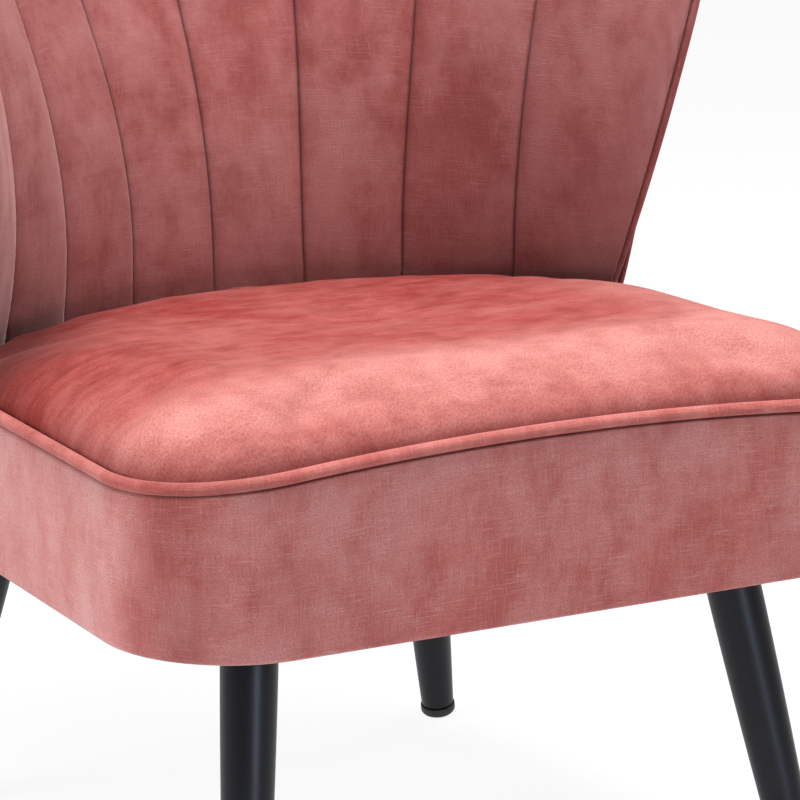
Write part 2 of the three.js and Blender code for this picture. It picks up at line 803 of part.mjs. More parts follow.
// Tapered steel tube, cut level under its plate.
function legTube(axis) {
  const length = axis.upper.distanceTo(axis.domeMiddle);
  const foot = glideCollarHeight + fitGap;
  const taper = (legTopDiameter - legFootDiameter) * half / (length - foot);
  const radiusAt = (height) => legFootDiameter * half + taper * (height - foot);
  const high = length + legTopDiameter * half;
  const profile = [
    new THREE.Vector2(radiusAt(foot), foot),
    new THREE.Vector2(radiusAt(high), high),
    new THREE.Vector2(radiusAt(high) - legWall, high),
    new THREE.Vector2(radiusAt(foot) - legWall, foot),
    new THREE.Vector2(radiusAt(foot), foot),
  ];
  const tube = alongLeg(new THREE.LatheGeometry(profile, roundSides), axis);
  const level = plateTop() - plateThickness - fitGap;
  const above = new THREE.BoxGeometry(plateDiameter * 2, plateDiameter * 2, plateDiameter);
  above.translate(axis.upper.x, axis.upper.y, level + plateDiameter * half);
  return cutBy(tube, [above]);
}

// Push-in glide: a spigot in the tube, a collar and a domed foot with a small flat on the floor.
function legGlide(axis) {
  const bore = legFootDiameter * half - legWall - fitGap;
  const edge = glideDiameter * half;
  const profile = [new THREE.Vector2(0, -glideDomeHeight)];
  for (let k = 1; k <= cornerSteps; k++) {
    const angle = quarter * k / cornerSteps;
    profile.push(new THREE.Vector2(edge * Math.sin(angle), -glideDomeHeight * Math.cos(angle)));
  }
  profile.push(new THREE.Vector2(edge, glideCollarHeight));
  profile.push(new THREE.Vector2(bore, glideCollarHeight));
  profile.push(new THREE.Vector2(bore, glideCollarHeight + glideSpigotLength));
  profile.push(new THREE.Vector2(0, glideCollarHeight + glideSpigotLength));
  const glide = alongLeg(new THREE.LatheGeometry(profile, roundSides), axis);
  const below = new THREE.BoxGeometry(glideDiameter * 2, glideDiameter * 2, glideDiameter);
  below.translate(axis.domeMiddle.x, axis.domeMiddle.y, -glideDiameter * half);
  return cutBy(glide, [below]);
}

// Round mounting plate with its screws: heads below, shanks up in the corner block.
function legPlate(side, top) {
  const under = plateTop() - plateThickness;
  const shanks = screwShanks(side, top, screwDiameter, 0);
  const circle = (plateDiameter * half + legTopDiameter * half) * half;
  const heads = shanks.map((_, k) => {
    const angle = quarter * (k + half);
    const x = side * top.x + circle * Math.cos(angle);
    const y = top.y + circle * Math.sin(angle);
    return post(x, y, screwHeadDiameter, under - screwHeadHeight, under + screwHeadHeight);
  });
  const radius = plateDiameter * half;
  const disc = new THREE.CylinderGeometry(radius, radius, plateThickness, roundSides);
  disc.rotateX(quarter).translate(side * top.x, top.y, under + plateThickness * half);
  const joined = [...shanks, ...heads].reduce((body, piece) => body.add(solidFrom(piece)), solidFrom(disc));
  return geometryFrom(joined);
}

// The four corners of the seat, each with its block, plate, tube and glide.
function makeLegs() {
  for (const rear of [false, true]) {
    const top = legTop(rear);
    for (const side of [-1, 1]) {
      const label = `${rear ? 'rear' : 'front'}_${side < 0 ? 'left' : 'right'}`;
      const axis = legAxis(side, top, legFoot(rear));
      addPiece(`corner_block_${label}`, cornerBlock(rear, side, top), timber());
      addPiece(`leg_plate_${label}`, legPlate(side, top), blackSteel());
      addPiece(`leg_tube_${label}`, legTube(axis), blackSteel());
      addPiece(`leg_glide_${label}`, legGlide(axis), blackPlastic());
    }
  }
}

// Back pieces

// One padded channel: crowned towards the sitter, parallel to the board behind.
function makeChannel(index) {
  const from = index / channelsEachSide;
  const to = (index + 1) / channelsEachSide;
  const width = backPoint(from, 0).distanceTo(backPoint(to, 0));
  const trim = fitGap / width * (to - from);
  const places = channelPlaces(index);
  const low = from + (from > -1 ? trim : 0);
  const high = to - (to < 1 ? trim : 0);
  const fitted = places.map((p) => THREE.MathUtils.clamp(p, low, high));
  const frontAt = (p, rise) => {
    const wave = Math.sin(Math.PI * THREE.MathUtils.clamp((p - from) / (to - from), 0, 1));
    const roll = rollAt(edgeDistance(p, rise), padRollWidth);
    const crown = fluteCrown * Math.max(wave, 0) ** fluteFullnessShare;
    return layerPoint(p, rise, padRollDepth * roll - crown * (1 - roll));
  };
  const rearAt = (p, rise) => layerPoint(p, rise, padDepth(p, rise));
  const geometry = slabBetween(backGrid(fitted, padFoot, 0, frontAt), backGrid(fitted, padFoot, 0, rearAt));
  addPiece(`back_channel_${index + channelsEachSide + 1}`, geometry, backVelvet());
}

// Bent plywood board between the pad and the outer cover.
function makeBackBoard() {
  const places = backPlaces();
  const frontAt = (p, rise) => layerPoint(p, rise, padDepth(p, rise) + layerGap);
  const rearAt = (p, rise) => layerPoint(p, rise, padDepth(p, rise) + layerGap + boardThickness);
  const front = backGrid(places, backFoot, boardInset, frontAt);
  const rear = backGrid(places, backFoot, boardInset, rearAt);
  addPiece('back_board', slabBetween(front, rear), plywood());
}

// Outer cover: a smooth padded skin from the seat box to the rim.
function makeOuterCover() {
  const places = backPlaces();
  const inner = backGrid(places, backFoot, outerInset, (p, rise) => outerPoint(p, rise, 0));
  const outer = backGrid(places, backFoot, outerInset, (p, rise) => outerPoint(p, rise, outerThickness));
  addPiece('back_outer_cover', slabBetween(inner, outer), backVelvet());
}

// Welt in the seam between the channels and the outer cover, from wing to wing over the rim.
function makeBackWelt() {
  const edgeAt = (p, rise) => {
    const slot = layerGap + boardThickness + outerGap + weltRoomGap;
    return layerPoint(p, rise, padDepth(p, rise) + slot * half);
  };
  const low = backFoot + backWeltDiameter * half + fitGap - bendHeight;
  const shoulder = rimRise(1);
  const right = [];
  for (let k = 0; k <= cornerSteps; k++) {
    right.push(edgeAt(1, THREE.MathUtils.lerp(low, shoulder, k / cornerSteps)));
  }
  for (let k = 1; k <= rimSteps; k++) {
    const turn = quarter * k / rimSteps;
    const p = Math.max(Math.cos(turn), 0) ** (2 / rimSquareness);
    right.push(edgeAt(p, rimRise(p)));
  }
  const middle = right[right.length - 1];
  middle.x = 0;
  const left = right.slice(0, -1).reverse().map((point) => new THREE.Vector3(-point.x, point.y, point.z));
  const curve = new THREE.CatmullRomCurve3([...right, ...left]);
  addPiece('back_welt', tubeAlong(curve, backWeltDiameter, weltSteps), backVelvet());
}

// Point of the uprights' front face, a gap behind the board and straight down below its foot.
function uprightFace(p, rise) {
  const held = Math.max(rise, backFoot - bendHeight);
  const point = layerPoint(p, held, padDepth(p, held) + layerGap * 2 + boardThickness);
  point.z += rise - held;
  return point;
}

// Share across the back where the uprights' front face has a given distance from the centre line.
function uprightShare(x) {
  let low = 0;
  let high = 1;
  while (high - low > probeShare * probeShare) {
    const middle = (low + high) * half;
    if (uprightFace(middle, 0).x < x) low = middle;
    else high = middle;
  }
  return low;
}

// Hardwood upright behind the board: flat on its bracket, shaped to the board in front.
function uprightSolid(side) {
  const inner = uprightShare(uprightInner);
  const outer = uprightShare(uprightOuter);
  const front = [];
  const rear = [];
  for (let i = 0; i <= channelSteps; i++) {
    const p = THREE.MathUtils.lerp(inner, outer, i / channelSteps);
    const column = [];
    for (let j = 0; j <= backRows; j++) {
      const point = uprightFace(p, THREE.MathUtils.lerp(uprightFoot, uprightTop, j / backRows) - bendHeight);
      column.push(new THREE.Vector3(side * point.x, point.y, point.z));
    }
    front.push(column);
    rear.push(column.map(({ x, y, z }) => {
      return new THREE.Vector3(x, Math.max(uprightRear, y + uprightLeastThickness), z);
    }));
  }
  return slabBetween(front, rear);
}

// Bolt along Y with its head towards the given direction.
function boltSolid(x, z, headY, direction, length) {
  const radius = boltDiameter * half;
  const head = boltHeadDiameter * half;
  const profile = [
    new THREE.Vector2(0, boltHeadHeight),
    new THREE.Vector2(head * (1 - quarter * half), boltHeadHeight),
    new THREE.Vector2(head, 0),
    new THREE.Vector2(radius, 0),
    new THREE.Vector2(radius, -length),
    new THREE.Vector2(0, -length),
  ];
  const bolt = new THREE.LatheGeometry(profile, roundSides * half);
  if (direction < 0) bolt.rotateX(Math.PI);
  return bolt.translate(x, headY, z);
}

// Hole for a bolt, right through along Y.
function boltHole(x, z) {
  const radius = boltDiameter * half + fitGap;
  const hole = new THREE.CylinderGeometry(radius, radius, seatDepth, roundSides * half);
  return hole.translate(x, seatDepth, z);
}

// Seat of the rail bolts' heads: the floor of a pocket just behind the uprights' front face.
function railBoltSeat() {
  const inner = uprightShare(uprightMiddle - boltHeadDiameter);
  return uprightFace(inner, railBoltLevel - bendHeight).y;
}

// Uprights, steel brackets and bolts on both sides of the back.
function makeBackFixings() {
  const seat = railBoltSeat();
  const railBoltLength = railInnerFace + railThickness * boltDepthShare - seat;
  const uprightBoltLength = (bracketRear - seat) * boltDepthShare;
  for (const side of [-1, 1]) {
    const label = side < 0 ? 'left' : 'right';
    const x = side * uprightMiddle;
    const holes = [boltHole(x, railBoltLevel), boltHole(x, uprightBoltLevel)];
    const pocketRadius = boltHeadDiameter * half + fitGap;
    const pocket = new THREE.CylinderGeometry(pocketRadius, pocketRadius, seatDepth, roundSides * half);
    pocket.translate(x, seat - seatDepth * half, railBoltLevel);
    addPiece(`back_upright_${label}`, cutBy(uprightSolid(side), [...holes, pocket]), timber());
    const bracket = new THREE.BoxGeometry(bracketWidth, bracketThickness, bracketTop - bracketFoot);
    bracket.translate(x, bracketRear - bracketThickness * half, (bracketTop + bracketFoot) * half);
    addPiece(`back_bracket_${label}`, cutBy(bracket, holes), zincSteel());
    const railBolt = boltSolid(x, railBoltLevel, seat - fitGap, -1, railBoltLength);
    addPiece(`rail_bolt_${label}`, railBolt, zincSteel());
    const uprightBolt = boltSolid(x, uprightBoltLevel, bracketRear + fitGap, 1, uprightBoltLength);
    addPiece(`upright_bolt_${label}`, uprightBolt, zincSteel());
  }
}

makeBand();
makeSeatWelt();
makeSeatCover();
makeSeatFoam();
makeRails();
makeStraps();
makeDustCloth();
makeLegs();
for (let index = -channelsEachSide; index < channelsEachSide; index++) makeChannel(index);
makeBackBoard();
makeOuterCover();
makeBackWelt();
makeBackFixings();

// The origin lies on the floor under the middle of the chair.
const extent = new THREE.Box3().setFromObject(chair);
chair.position.y = -(extent.min.y + extent.max.y) * half;

export default chair;
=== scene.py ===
"""Slipper chair: slub velvet over a tight crowned seat and a channelled back, on black steel legs.

Lengths are metres. Depths count back from the front of the seat box, as in the CAD source, and a
piece is moved to the frame, whose origin lies on the floor under the middle of the chair, when its
mesh is made. A place p across the back runs from -1 at the left wing to 1 at the right one.
"""
import logging
import math
from dataclasses import dataclass, field
from enum import Enum
from typing import Any

import bmesh
import bpy
import numpy as np
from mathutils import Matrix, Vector


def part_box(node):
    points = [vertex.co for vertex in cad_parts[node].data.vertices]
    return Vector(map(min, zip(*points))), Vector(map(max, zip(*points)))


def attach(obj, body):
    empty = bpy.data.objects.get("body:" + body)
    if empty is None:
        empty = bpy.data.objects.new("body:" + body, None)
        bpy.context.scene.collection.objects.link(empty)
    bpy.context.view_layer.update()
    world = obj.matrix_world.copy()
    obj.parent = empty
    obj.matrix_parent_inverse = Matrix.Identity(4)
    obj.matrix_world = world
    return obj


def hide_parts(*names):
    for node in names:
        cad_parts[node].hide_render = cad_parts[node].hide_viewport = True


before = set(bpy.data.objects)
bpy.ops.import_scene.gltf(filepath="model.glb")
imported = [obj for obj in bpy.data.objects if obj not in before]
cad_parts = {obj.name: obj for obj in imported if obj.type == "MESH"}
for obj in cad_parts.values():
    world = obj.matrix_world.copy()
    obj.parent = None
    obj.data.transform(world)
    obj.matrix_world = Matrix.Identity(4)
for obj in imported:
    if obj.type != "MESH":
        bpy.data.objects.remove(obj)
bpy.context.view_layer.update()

SEAT_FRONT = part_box("seat_band")[0][1]
Array = np.ndarray
Colour = tuple[float, float, float]
Place = tuple[float, float, float]
FLIP = np.array([-1.0, 1.0])
log = logging.getLogger("chair")


# Curves and sums used by every piece


def quarter_round(distance: Array, width: Array | float) -> Array:
    """One at an edge and none at the given distance from it, in a quarter circle.

    Args:
        distance: Distance from the edge.
        width: Distance over which the round runs out.

    Returns:
        1 - sqrt(1 - s^2), where s falls from one at the edge to zero at the width.
    """
    share = 1 - np.clip(distance / width, 0, 1)
    return 1 - np.sqrt(np.maximum(1 - share * share, 0))


def ease(value: Array, low: float, high: float) -> Array:
    """Smooth step from none at the low value to one at the high value.

    Args:
        value: Values to ease.
        low: Value where the step starts.
        high: Value where the step ends.

    Returns:
        3 s^2 - 2 s^3 of the clipped share s of the way.
    """
    share = np.clip((value - low) / (high - low), 0, 1)
    return share * share * (3 - 2 * share)


def unevenness(u: Array, v: Array, wave: float, seed: int) -> Array:
    """Gentle hand-made unevenness of stretched cloth, as a sum of slanted sine waves.

    Args:
        u: First coordinate in metres.
        v: Second coordinate in metres.
        wave: Length of the longest waves in metres.
        seed: Number that fixes the directions and phases.

    Returns:
        Values between about -1 and 1.
    """
    draw = np.random.default_rng(seed)
    total = np.zeros(np.broadcast(u, v).shape)
    count, shortening = 7, 0.55
    for k in range(count):
        angle, phase = draw.uniform(0, math.tau, 2)
        length = wave / (1 + shortening * k)
        along = u * math.cos(angle) + v * math.sin(angle)
        total = total + np.sin(math.tau * along / length + phase) / (1 + k)
    return total / math.sqrt(count)


def lengths(points: Array, closed: bool = False) -> Array:
    """Way along a path to each of its points; a closed path's whole length comes last.

    Args:
        points: Points, with their coordinates along the last axis.
        closed: The last point joins the first.

    Returns:
        Running sums of the distances between neighbours, from none.
    """
    steps = np.diff(points, axis=0, append=points[:1]) if closed else np.diff(points, axis=0)
    return np.concatenate([[0], np.cumsum(np.linalg.norm(steps, axis=1))])


def read_at(places: Array, known: Array, rows: Array) -> Array:
    """Reads rows of values at places between the known ones, as straight mixes of two rows."""
    return np.stack([np.interp(places, known, column) for column in rows.T], axis=-1)


def mirrored(half: Array, flip: Array | float) -> Array:
    """Whole loop from its right half, whose ends lie on the centre line."""
    return np.concatenate([half, half[-2:0:-1] * flip])


def cloth_map(across: Array, along: Array) -> Array:
    """Cloth map of a grid, from a length for each column and one for each row."""
    return np.stack(np.meshgrid(across, along), axis=2)


# Meshes


def corners(grid: Array) -> Array:
    """Values at the four corners of each cell of a grid, in order round the cell."""
    return np.stack([grid[:-1, :-1], grid[:-1, 1:], grid[1:, 1:], grid[1:, :-1]], axis=2)


def outer_loop(grid: Array) -> Array:
    """Values on the outline of a grid, once round."""
    return np.concatenate([grid[0, :-1], grid[:-1, -1], grid[-1, :0:-1], grid[:0:-1, 0]])


class Skin:
    """A piece put together from grids of points, with a cloth map in metres at each face corner."""

    def __init__(self) -> None:
        """Starts an empty skin."""
        self.points: list[Array] = []
        self.count = 0
        self.faces: list[Array] = []
        self.maps: list[Array] = []

    def add(self, points: Array) -> Array:
        """Adds points and gives their numbers.

        Args:
            points: Array whose last axis is x, y, z.

        Returns:
            Numbers of the points, in the shape of the other axes.
        """
        shape = points.shape[:-1]
        size = int(np.prod(shape))
        self.points.append(points.reshape(size, 3))
        self.count += size
        return (self.count - size + np.arange(size)).reshape(shape)

    def patch(self, numbers: Array, cloth: Array) -> None:
        """Adds the four-cornered faces of a grid of point numbers.

        Args:
            numbers: Point numbers, rows by columns.
            cloth: Map of each grid point, rows by columns by two.
        """
        self.faces.append(corners(numbers).reshape(-1, 4))
        self.maps.append(corners(cloth).reshape(-1, 4, 2))

    def grid(
        self, points: Array, cloth: Array, ring_rows: bool = False, ring_columns: bool = False
    ) -> Array:
        """Adds a grid of points and its faces.

        Args:
            points: Rows by columns by three.
            cloth: Map of the grid, with one more row or column where the grid closes on itself.
            ring_rows: The last row joins the first.
            ring_columns: The last column joins the first.

        Returns:
            Numbers of the points, rows by columns.
        """
        numbers = self.add(points)
        wide = np.concatenate([numbers, numbers[:, :1]], axis=1) if ring_columns else numbers
        tall = np.concatenate([wide, wide[:1]], axis=0) if ring_rows else wide
        self.patch(tall, cloth)
        return numbers

    def fan(self, ring: Array, tip: Array, cloth: Array, tip_cloth: Array) -> None:
        """Closes a ring of points with a middle point.

        Args:
            ring: Numbers of the ring's points, in order.
            tip: Place of the middle point.
            cloth: Map of the ring's points.
            tip_cloth: Map of the middle point.
        """
        middle = self.add(tip.reshape(1, 3))[0]
        after = np.roll(ring, -1)
        self.faces.append(np.stack([ring, after, np.full_like(ring, middle)], axis=1))
        tips = np.broadcast_to(tip_cloth, cloth.shape)
        self.maps.append(np.stack([cloth, np.roll(cloth, -1, axis=0), tips], axis=1))

    def build(self, name: str, sharp: float = 40.0) -> bpy.types.Object:
        """Makes the object, with its faces turned outwards.

        Args:
            name: Name of the piece.
            sharp: Angle in degrees past which an edge is drawn sharp.

        Returns:
            The new object, at the origin of the frame.
        """
        mesh = bpy.data.meshes.new(name)
        points = np.concatenate(self.points) + np.array([0.0, SEAT_FRONT, 0.0])
        faces = [face for part in self.faces for face in part.tolist()]
        mesh.from_pydata(points.tolist(), [], faces)
        cloth = np.concatenate([part.reshape(-1, 2) for part in self.maps])
        mesh.uv_layers.new(name="cloth").data.foreach_set("uv", cloth.ravel())
        work = bmesh.new()
        work.from_mesh(mesh)
        bmesh.ops.remove_doubles(work, verts=work.verts, dist=1e-6)
        bmesh.ops.recalc_face_normals(work, faces=work.faces)
        work.to_mesh(mesh)
        work.free()
        mesh.polygons.foreach_set("use_smooth", np.ones(len(mesh.polygons), dtype=bool))
        mesh.set_sharp_from_angle(angle=math.radians(sharp))
        made = bpy.data.objects.new(name, mesh)
        bpy.context.scene.collection.objects.link(made)
        return made


def slab(front: Array, rear: Array, cloth: Array, edge_steps: int = 3, belly: float = 0.0) -> Skin:
    """Closed piece between two grids of points, with a bowed edge between them all round.

    Each edge row is the straight mix of the two grids' outlines, pushed out by belly times the sine
    of its share.

    Args:
        front: Front grid, rows by columns by three.
        rear: Rear grid of the same shape.
        cloth: Map of both grids.
        edge_steps: Number of steps across the edge.
        belly: How far the edge bows out.

    Returns:
        The skin, ready to build.
    """
    skin = Skin()
    first = skin.grid(front, cloth)
    last = skin.grid(rear, cloth)
    outline, inner = outer_loop(front), outer_loop(rear)
    middle = outline.mean(axis=0)
    ahead = np.roll(outline, -1, axis=0) - np.roll(outline, 1, axis=0)
    across = inner - outline
    out = np.cross(ahead, across)
    out /= np.maximum(np.linalg.norm(out, axis=1, keepdims=True), 1e-12)
    out *= np.sign(np.sum(out * (outline - middle), axis=1, keepdims=True))
    rows = [outer_loop(first)]
    for k in range(1, edge_steps):
        share = k / edge_steps
        bow = belly * math.sin(math.pi * share)
        rows.append(skin.add(outline + across * share + out * bow))
    rows.append(outer_loop(last))
    numbers = np.stack(rows)
    numbers = np.concatenate([numbers, numbers[:, :1]], axis=1)
    depth = np.linspace(0, 1, edge_steps + 1) * np.linalg.norm(across, axis=1).mean()
    skin.patch(numbers, cloth_map(lengths(outline, True), depth))
    return skin


def tube(path: Array, side: Array, radius: float, sides: int, ring: bool) -> Skin:
    """Round tube along a path: each point moves out by a cosine and a sine of two directions.

    The radius wavers by about a fiftieth along the path, as a sewn cord's does.

    Args:
        path: Points along the middle.
        side: A direction at each point, roughly square to the path.
        radius: Radius of the tube.
        sides: Points round the tube.
        ring: The path closes on itself.

    Returns:
        The skin, with domed ends where the path is open.
    """
    around_ring = np.roll(path, -1, axis=0) - np.roll(path, 1, axis=0)
    ahead = around_ring if ring else np.gradient(path, axis=0)
    ahead = ahead / np.linalg.norm(ahead, axis=1, keepdims=True)
    first = side - ahead * np.sum(side * ahead, axis=1, keepdims=True)
    first /= np.linalg.norm(first, axis=1, keepdims=True)
    second = np.cross(ahead, first)
    turn = np.linspace(0, math.tau, sides, endpoint=False)
    waver = 0.02 * unevenness(np.arange(len(path)) * 0.01, np.zeros(len(path)), wave=0.35, seed=5)
    around = np.cos(turn)[:, None, None] * first + np.sin(turn)[:, None, None] * second
    points = path + around * (radius * (1 + waver))[:, None]
    girth = np.linspace(0, math.tau * radius, sides + 1)
    skin = Skin()
    cloth = cloth_map(lengths(path, ring), girth)
    numbers = skin.grid(points, cloth, ring_rows=True, ring_columns=ring)
    if not ring:
        dome = 0.6 * radius
        blank = np.zeros((sides, 2))
        for end, sign in ((0, -1), (-1, 1)):
            skin.fan(numbers[:, end], path[end] + sign * ahead[end] * dome, blank, blank[0])
    return skin


def mark(piece: bpy.types.Object, name: str, amount: Array) -> None:
    """Writes a mark for each point into the mesh, for the velvet to read.

    Args:
        piece: The piece.
        name: "seam" darkens the cloth with painted shade and seam lines, "nap" paints light.
        amount: From none to one, for the points that come first in the mesh.
    """
    values = np.zeros(len(piece.data.vertices))
    values[: amount.size] = amount.ravel()
    piece.data.attributes.new(name, "FLOAT", "POINT").data.foreach_set("value", values)


def spread(values: Array, known: Array, wanted: Array) -> Array:
    """Reads values between the places where they are known, along their first axis.

    Each step is the cubic through its two ends with the slopes that the neighbouring values give.

    Args:
        values: Values, with the known places along the first axis.
        known: Rising places.
        wanted: Places to read.

    Returns:
        Values at the wanted places.
    """
    slope = np.gradient(values, known, axis=0)
    low = np.clip(np.searchsorted(known, wanted, side="right") - 1, 0, len(known) - 2)
    shape = (-1, *[1] * (values.ndim - 1))
    step = (known[low + 1] - known[low]).reshape(shape)
    t = ((wanted - known[low]) / (known[low + 1] - known[low])).reshape(shape)
    ends = values[low] * (2 * t ** 3 - 3 * t ** 2 + 1) + values[low + 1] * (3 * t ** 2 - 2 * t ** 3)
    bend = slope[low] * (t ** 3 - 2 * t ** 2 + t) + slope[low + 1] * (t ** 3 - t ** 2)
    return ends + bend * step


@dataclass(frozen=True)
class Filling:
    """Swelling of a sewn cover under its filling, from a cloth simulation that the seams hold.

    cap is the most that a point moves, in metres. The other fields are the simulation's settings.
    """

    pressure: float = 4.0
    cap: float = 0.005
    stiffness: float = 25.0
    bending: float = 2.0
    frames: int = 20
    quality: int = 6

    def swell(self, skin: Skin, held: Array) -> Array:
        """Runs the simulation on a closed skin and clears it away again.

        Args:
            skin: Skin of the pad, with the free points first.
            held: Whether each of its first points is held; all others are.

        Returns:
            How far each of the first points moved, eased off towards the cap.
        """
        pad = skin.build("filling")
        fixed = np.ones(len(pad.data.vertices), dtype=bool)
        fixed[: held.size] = held.ravel()
        pad.vertex_groups.new(name="held").add(np.flatnonzero(fixed).tolist(), 1.0, "REPLACE")
        cloth = pad.modifiers.new("cloth", "CLOTH")
        cloth.point_cache.frame_start, cloth.point_cache.frame_end = 1, self.frames
        settings = cloth.settings
        settings.vertex_group_mass = "held"
        settings.use_pressure = True
        settings.uniform_pressure_force = self.pressure
        settings.effector_weights.gravity = 0.0
        settings.quality = self.quality
        settings.tension_stiffness = settings.compression_stiffness = self.stiffness
        settings.shear_stiffness = self.stiffness
        settings.bending_stiffness = self.bending
        scene = bpy.context.scene
        for number in range(1, self.frames + 1):
            scene.frame_set(number)
        shaped = pad.evaluated_get(bpy.context.evaluated_depsgraph_get()).data
        before, after = np.zeros(fixed.size * 3), np.zeros(fixed.size * 3)
        pad.data.vertices.foreach_get("co", before)
        shaped.vertices.foreach_get("co", after)
        scene.frame_set(1)
        bpy.data.objects.remove(pad)
        moved = (after - before).reshape(-1, 3)[: held.size]
        length = np.linalg.norm(moved, axis=1, keepdims=True)
        log.info("filling: up to %.1f mm, mean %.1f mm", 1000 * length.max(), 1000 * length.mean())
        eased = self.cap * np.tanh(length / self.cap) / np.maximum(length, 1e-9)
        return (moved * eased).reshape(*held.shape, 3)


# Shader graphs


class Value:
    """A shader socket with arithmetic: each sum on values adds a Math node."""

    def __init__(self, graph: "Graph", socket: bpy.types.NodeSocket) -> None:
        """Wraps a socket of a graph."""
        self.graph = graph
        self.socket = socket

    def __add__(self, other: "Value | float") -> "Value":
        """Sum of two values."""
        return self.graph.math("ADD", self, other)

    __radd__ = __add__

    def __mul__(self, other: "Value | float") -> "Value":
        """Product of two values."""
        return self.graph.math("MULTIPLY", self, other)

    __rmul__ = __mul__

    def __sub__(self, other: "Value | float") -> "Value":
        """This value less another."""
        return self.graph.math("SUBTRACT", self, other)

    def __rsub__(self, other: "Value | float") -> "Value":
        """A number less this value."""
        return self.graph.math("SUBTRACT", other, self)

    def clamp(self) -> "Value":
        """This value kept between none and one."""
        return self.graph.math("ADD", self, 0.0, clamp=True)

    def above(self, low: float, high: float) -> "Value":
        """Share of the way of this value from low to high, kept between none and one."""
        return ((self - low) * (1 / (high - low))).clamp()


class Graph:
    """The node tree of a material or of the world."""

    def __init__(self, owner: bpy.types.Material | bpy.types.World) -> None:
        """Takes over the owner's tree and empties it.

        Args:
            owner: The material or the world.
        """
        owner.use_nodes = True
        self.owner = owner
        self.tree = owner.node_tree
        self.tree.nodes.clear()

    def node(self, kind: str, settings: dict[str, Any], inputs: dict[Any, Any]) -> bpy.types.Node:
        """Adds one node.

        Args:
            kind: Node type.
            settings: Properties to set first.
            inputs: Socket names or numbers with the values or links for them.

        Returns:
            The node.
        """
        made = self.tree.nodes.new(kind)
        for key, value in settings.items():
            setattr(made, key, value)
        for key, value in inputs.items():
            source = value.socket if isinstance(value, Value) else value
            if isinstance(source, bpy.types.NodeSocket):
                self.tree.links.new(source, made.inputs[key])
            else:
                made.inputs[key].default_value = source
        return made

    def math(self, operation: str, *values: "Value | float", clamp: bool = False) -> Value:
        """Adds a Math node.

        Args:
            operation: What the node works out.
            values: Values and numbers, in order.
            clamp: Keeps the result between none and one.

        Returns:
            The node's value.
        """
        settings = {"operation": operation, "use_clamp": clamp}
        made = self.node("ShaderNodeMath", settings, dict(enumerate(values)))
        return Value(self, made.outputs[0])

    def vector(self, operation: str, first: Any, second: Any) -> bpy.types.NodeSocket:
        """Adds a Vector Math node and gives its vector."""
        settings = {"operation": operation}
        return self.node("ShaderNodeVectorMath", settings, {0: first, 1: second}).outputs[0]

    def mix(self, factor: Value | float, first: Any, second: Any) -> bpy.types.NodeSocket:
        """Mixes two colours.

        Args:
            factor: Share of the second colour.
            first: Colour or colour socket.
            second: Colour or colour socket.

        Returns:
            The mixed colour's socket.
        """
        inputs: dict[int, Any] = {0: factor}
        for number, value in ((6, first), (7, second)):
            inputs[number] = value if isinstance(value, bpy.types.NodeSocket) else (*value, 1.0)
        settings = {"data_type": "RGBA", "clamp_factor": True}
        return self.node("ShaderNodeMix", settings, inputs).outputs[2]

    def object_place(self) -> bpy.types.NodeSocket:
        """Coordinates of the piece in metres."""
        return self.node("ShaderNodeTexCoord", {}, {}).outputs["Object"]

    def cloth_place(self) -> bpy.types.NodeSocket:
        """The piece's own cloth map, in metres."""
        return self.node("ShaderNodeUVMap", {"uv_map": "cloth"}, {}).outputs[0]

    def marks(self, name: str) -> Value:
        """The marks of a name that the mesh carries, or none where it has no such marks."""
        made = self.node("ShaderNodeAttribute", {"attribute_name": name}, {})
        return Value(self, made.outputs["Fac"])

    def noise(self, place: Any, scale: Place, detail: float, rough: float = 0.5) -> Value:
        """Noise on coordinates that are stretched first.

        Args:
            place: Coordinates.
            scale: Cells per metre along each axis.
            detail: Number of finer layers.
            rough: Weight of the finer layers.

        Returns:
            Values round one half.
        """
        stretched = self.vector("MULTIPLY", place, scale)
        inputs = {"Vector": stretched, "Scale": 1.0, "Detail": detail, "Roughness": rough}
        return Value(self, self.node("ShaderNodeTexNoise", {}, inputs).outputs[0])

    def bump(
        self, height: Value, distance: float, strength: float, below: Any = None
    ) -> bpy.types.NodeSocket:
        """Normal from a height.

        Args:
            height: Height as a share of the distance.
            distance: Height in metres of a share of one.
            strength: Strength of the effect.
            below: Normal of a coarser bump under it.

        Returns:
            The normal's socket.
        """
        inputs = {"Height": height, "Distance": distance, "Strength": strength}
        if below is not None:
            inputs["Normal"] = below
        return self.node("ShaderNodeBump", {}, inputs).outputs[0]

    def finish(self, inputs: dict[str, Any]) -> bpy.types.Material:
        """Adds the surface shader and the output.

        Args:
            inputs: Sockets of the surface shader.

        Returns:
            The finished material.
        """
        surface = self.node("ShaderNodeBsdfPrincipled", {}, inputs)
        self.node("ShaderNodeOutputMaterial", {}, {0: surface.outputs[0]})
        return self.owner


# Finishes


def even(cells: float) -> Place:
    """The same number of cells per metre along every axis."""
    return (cells, cells, cells)


def toned(colour: Colour, by: float) -> Colour:
    """A colour times a number, kept at one at most."""
    return tuple(min(1.0, by * part) for part in colour)


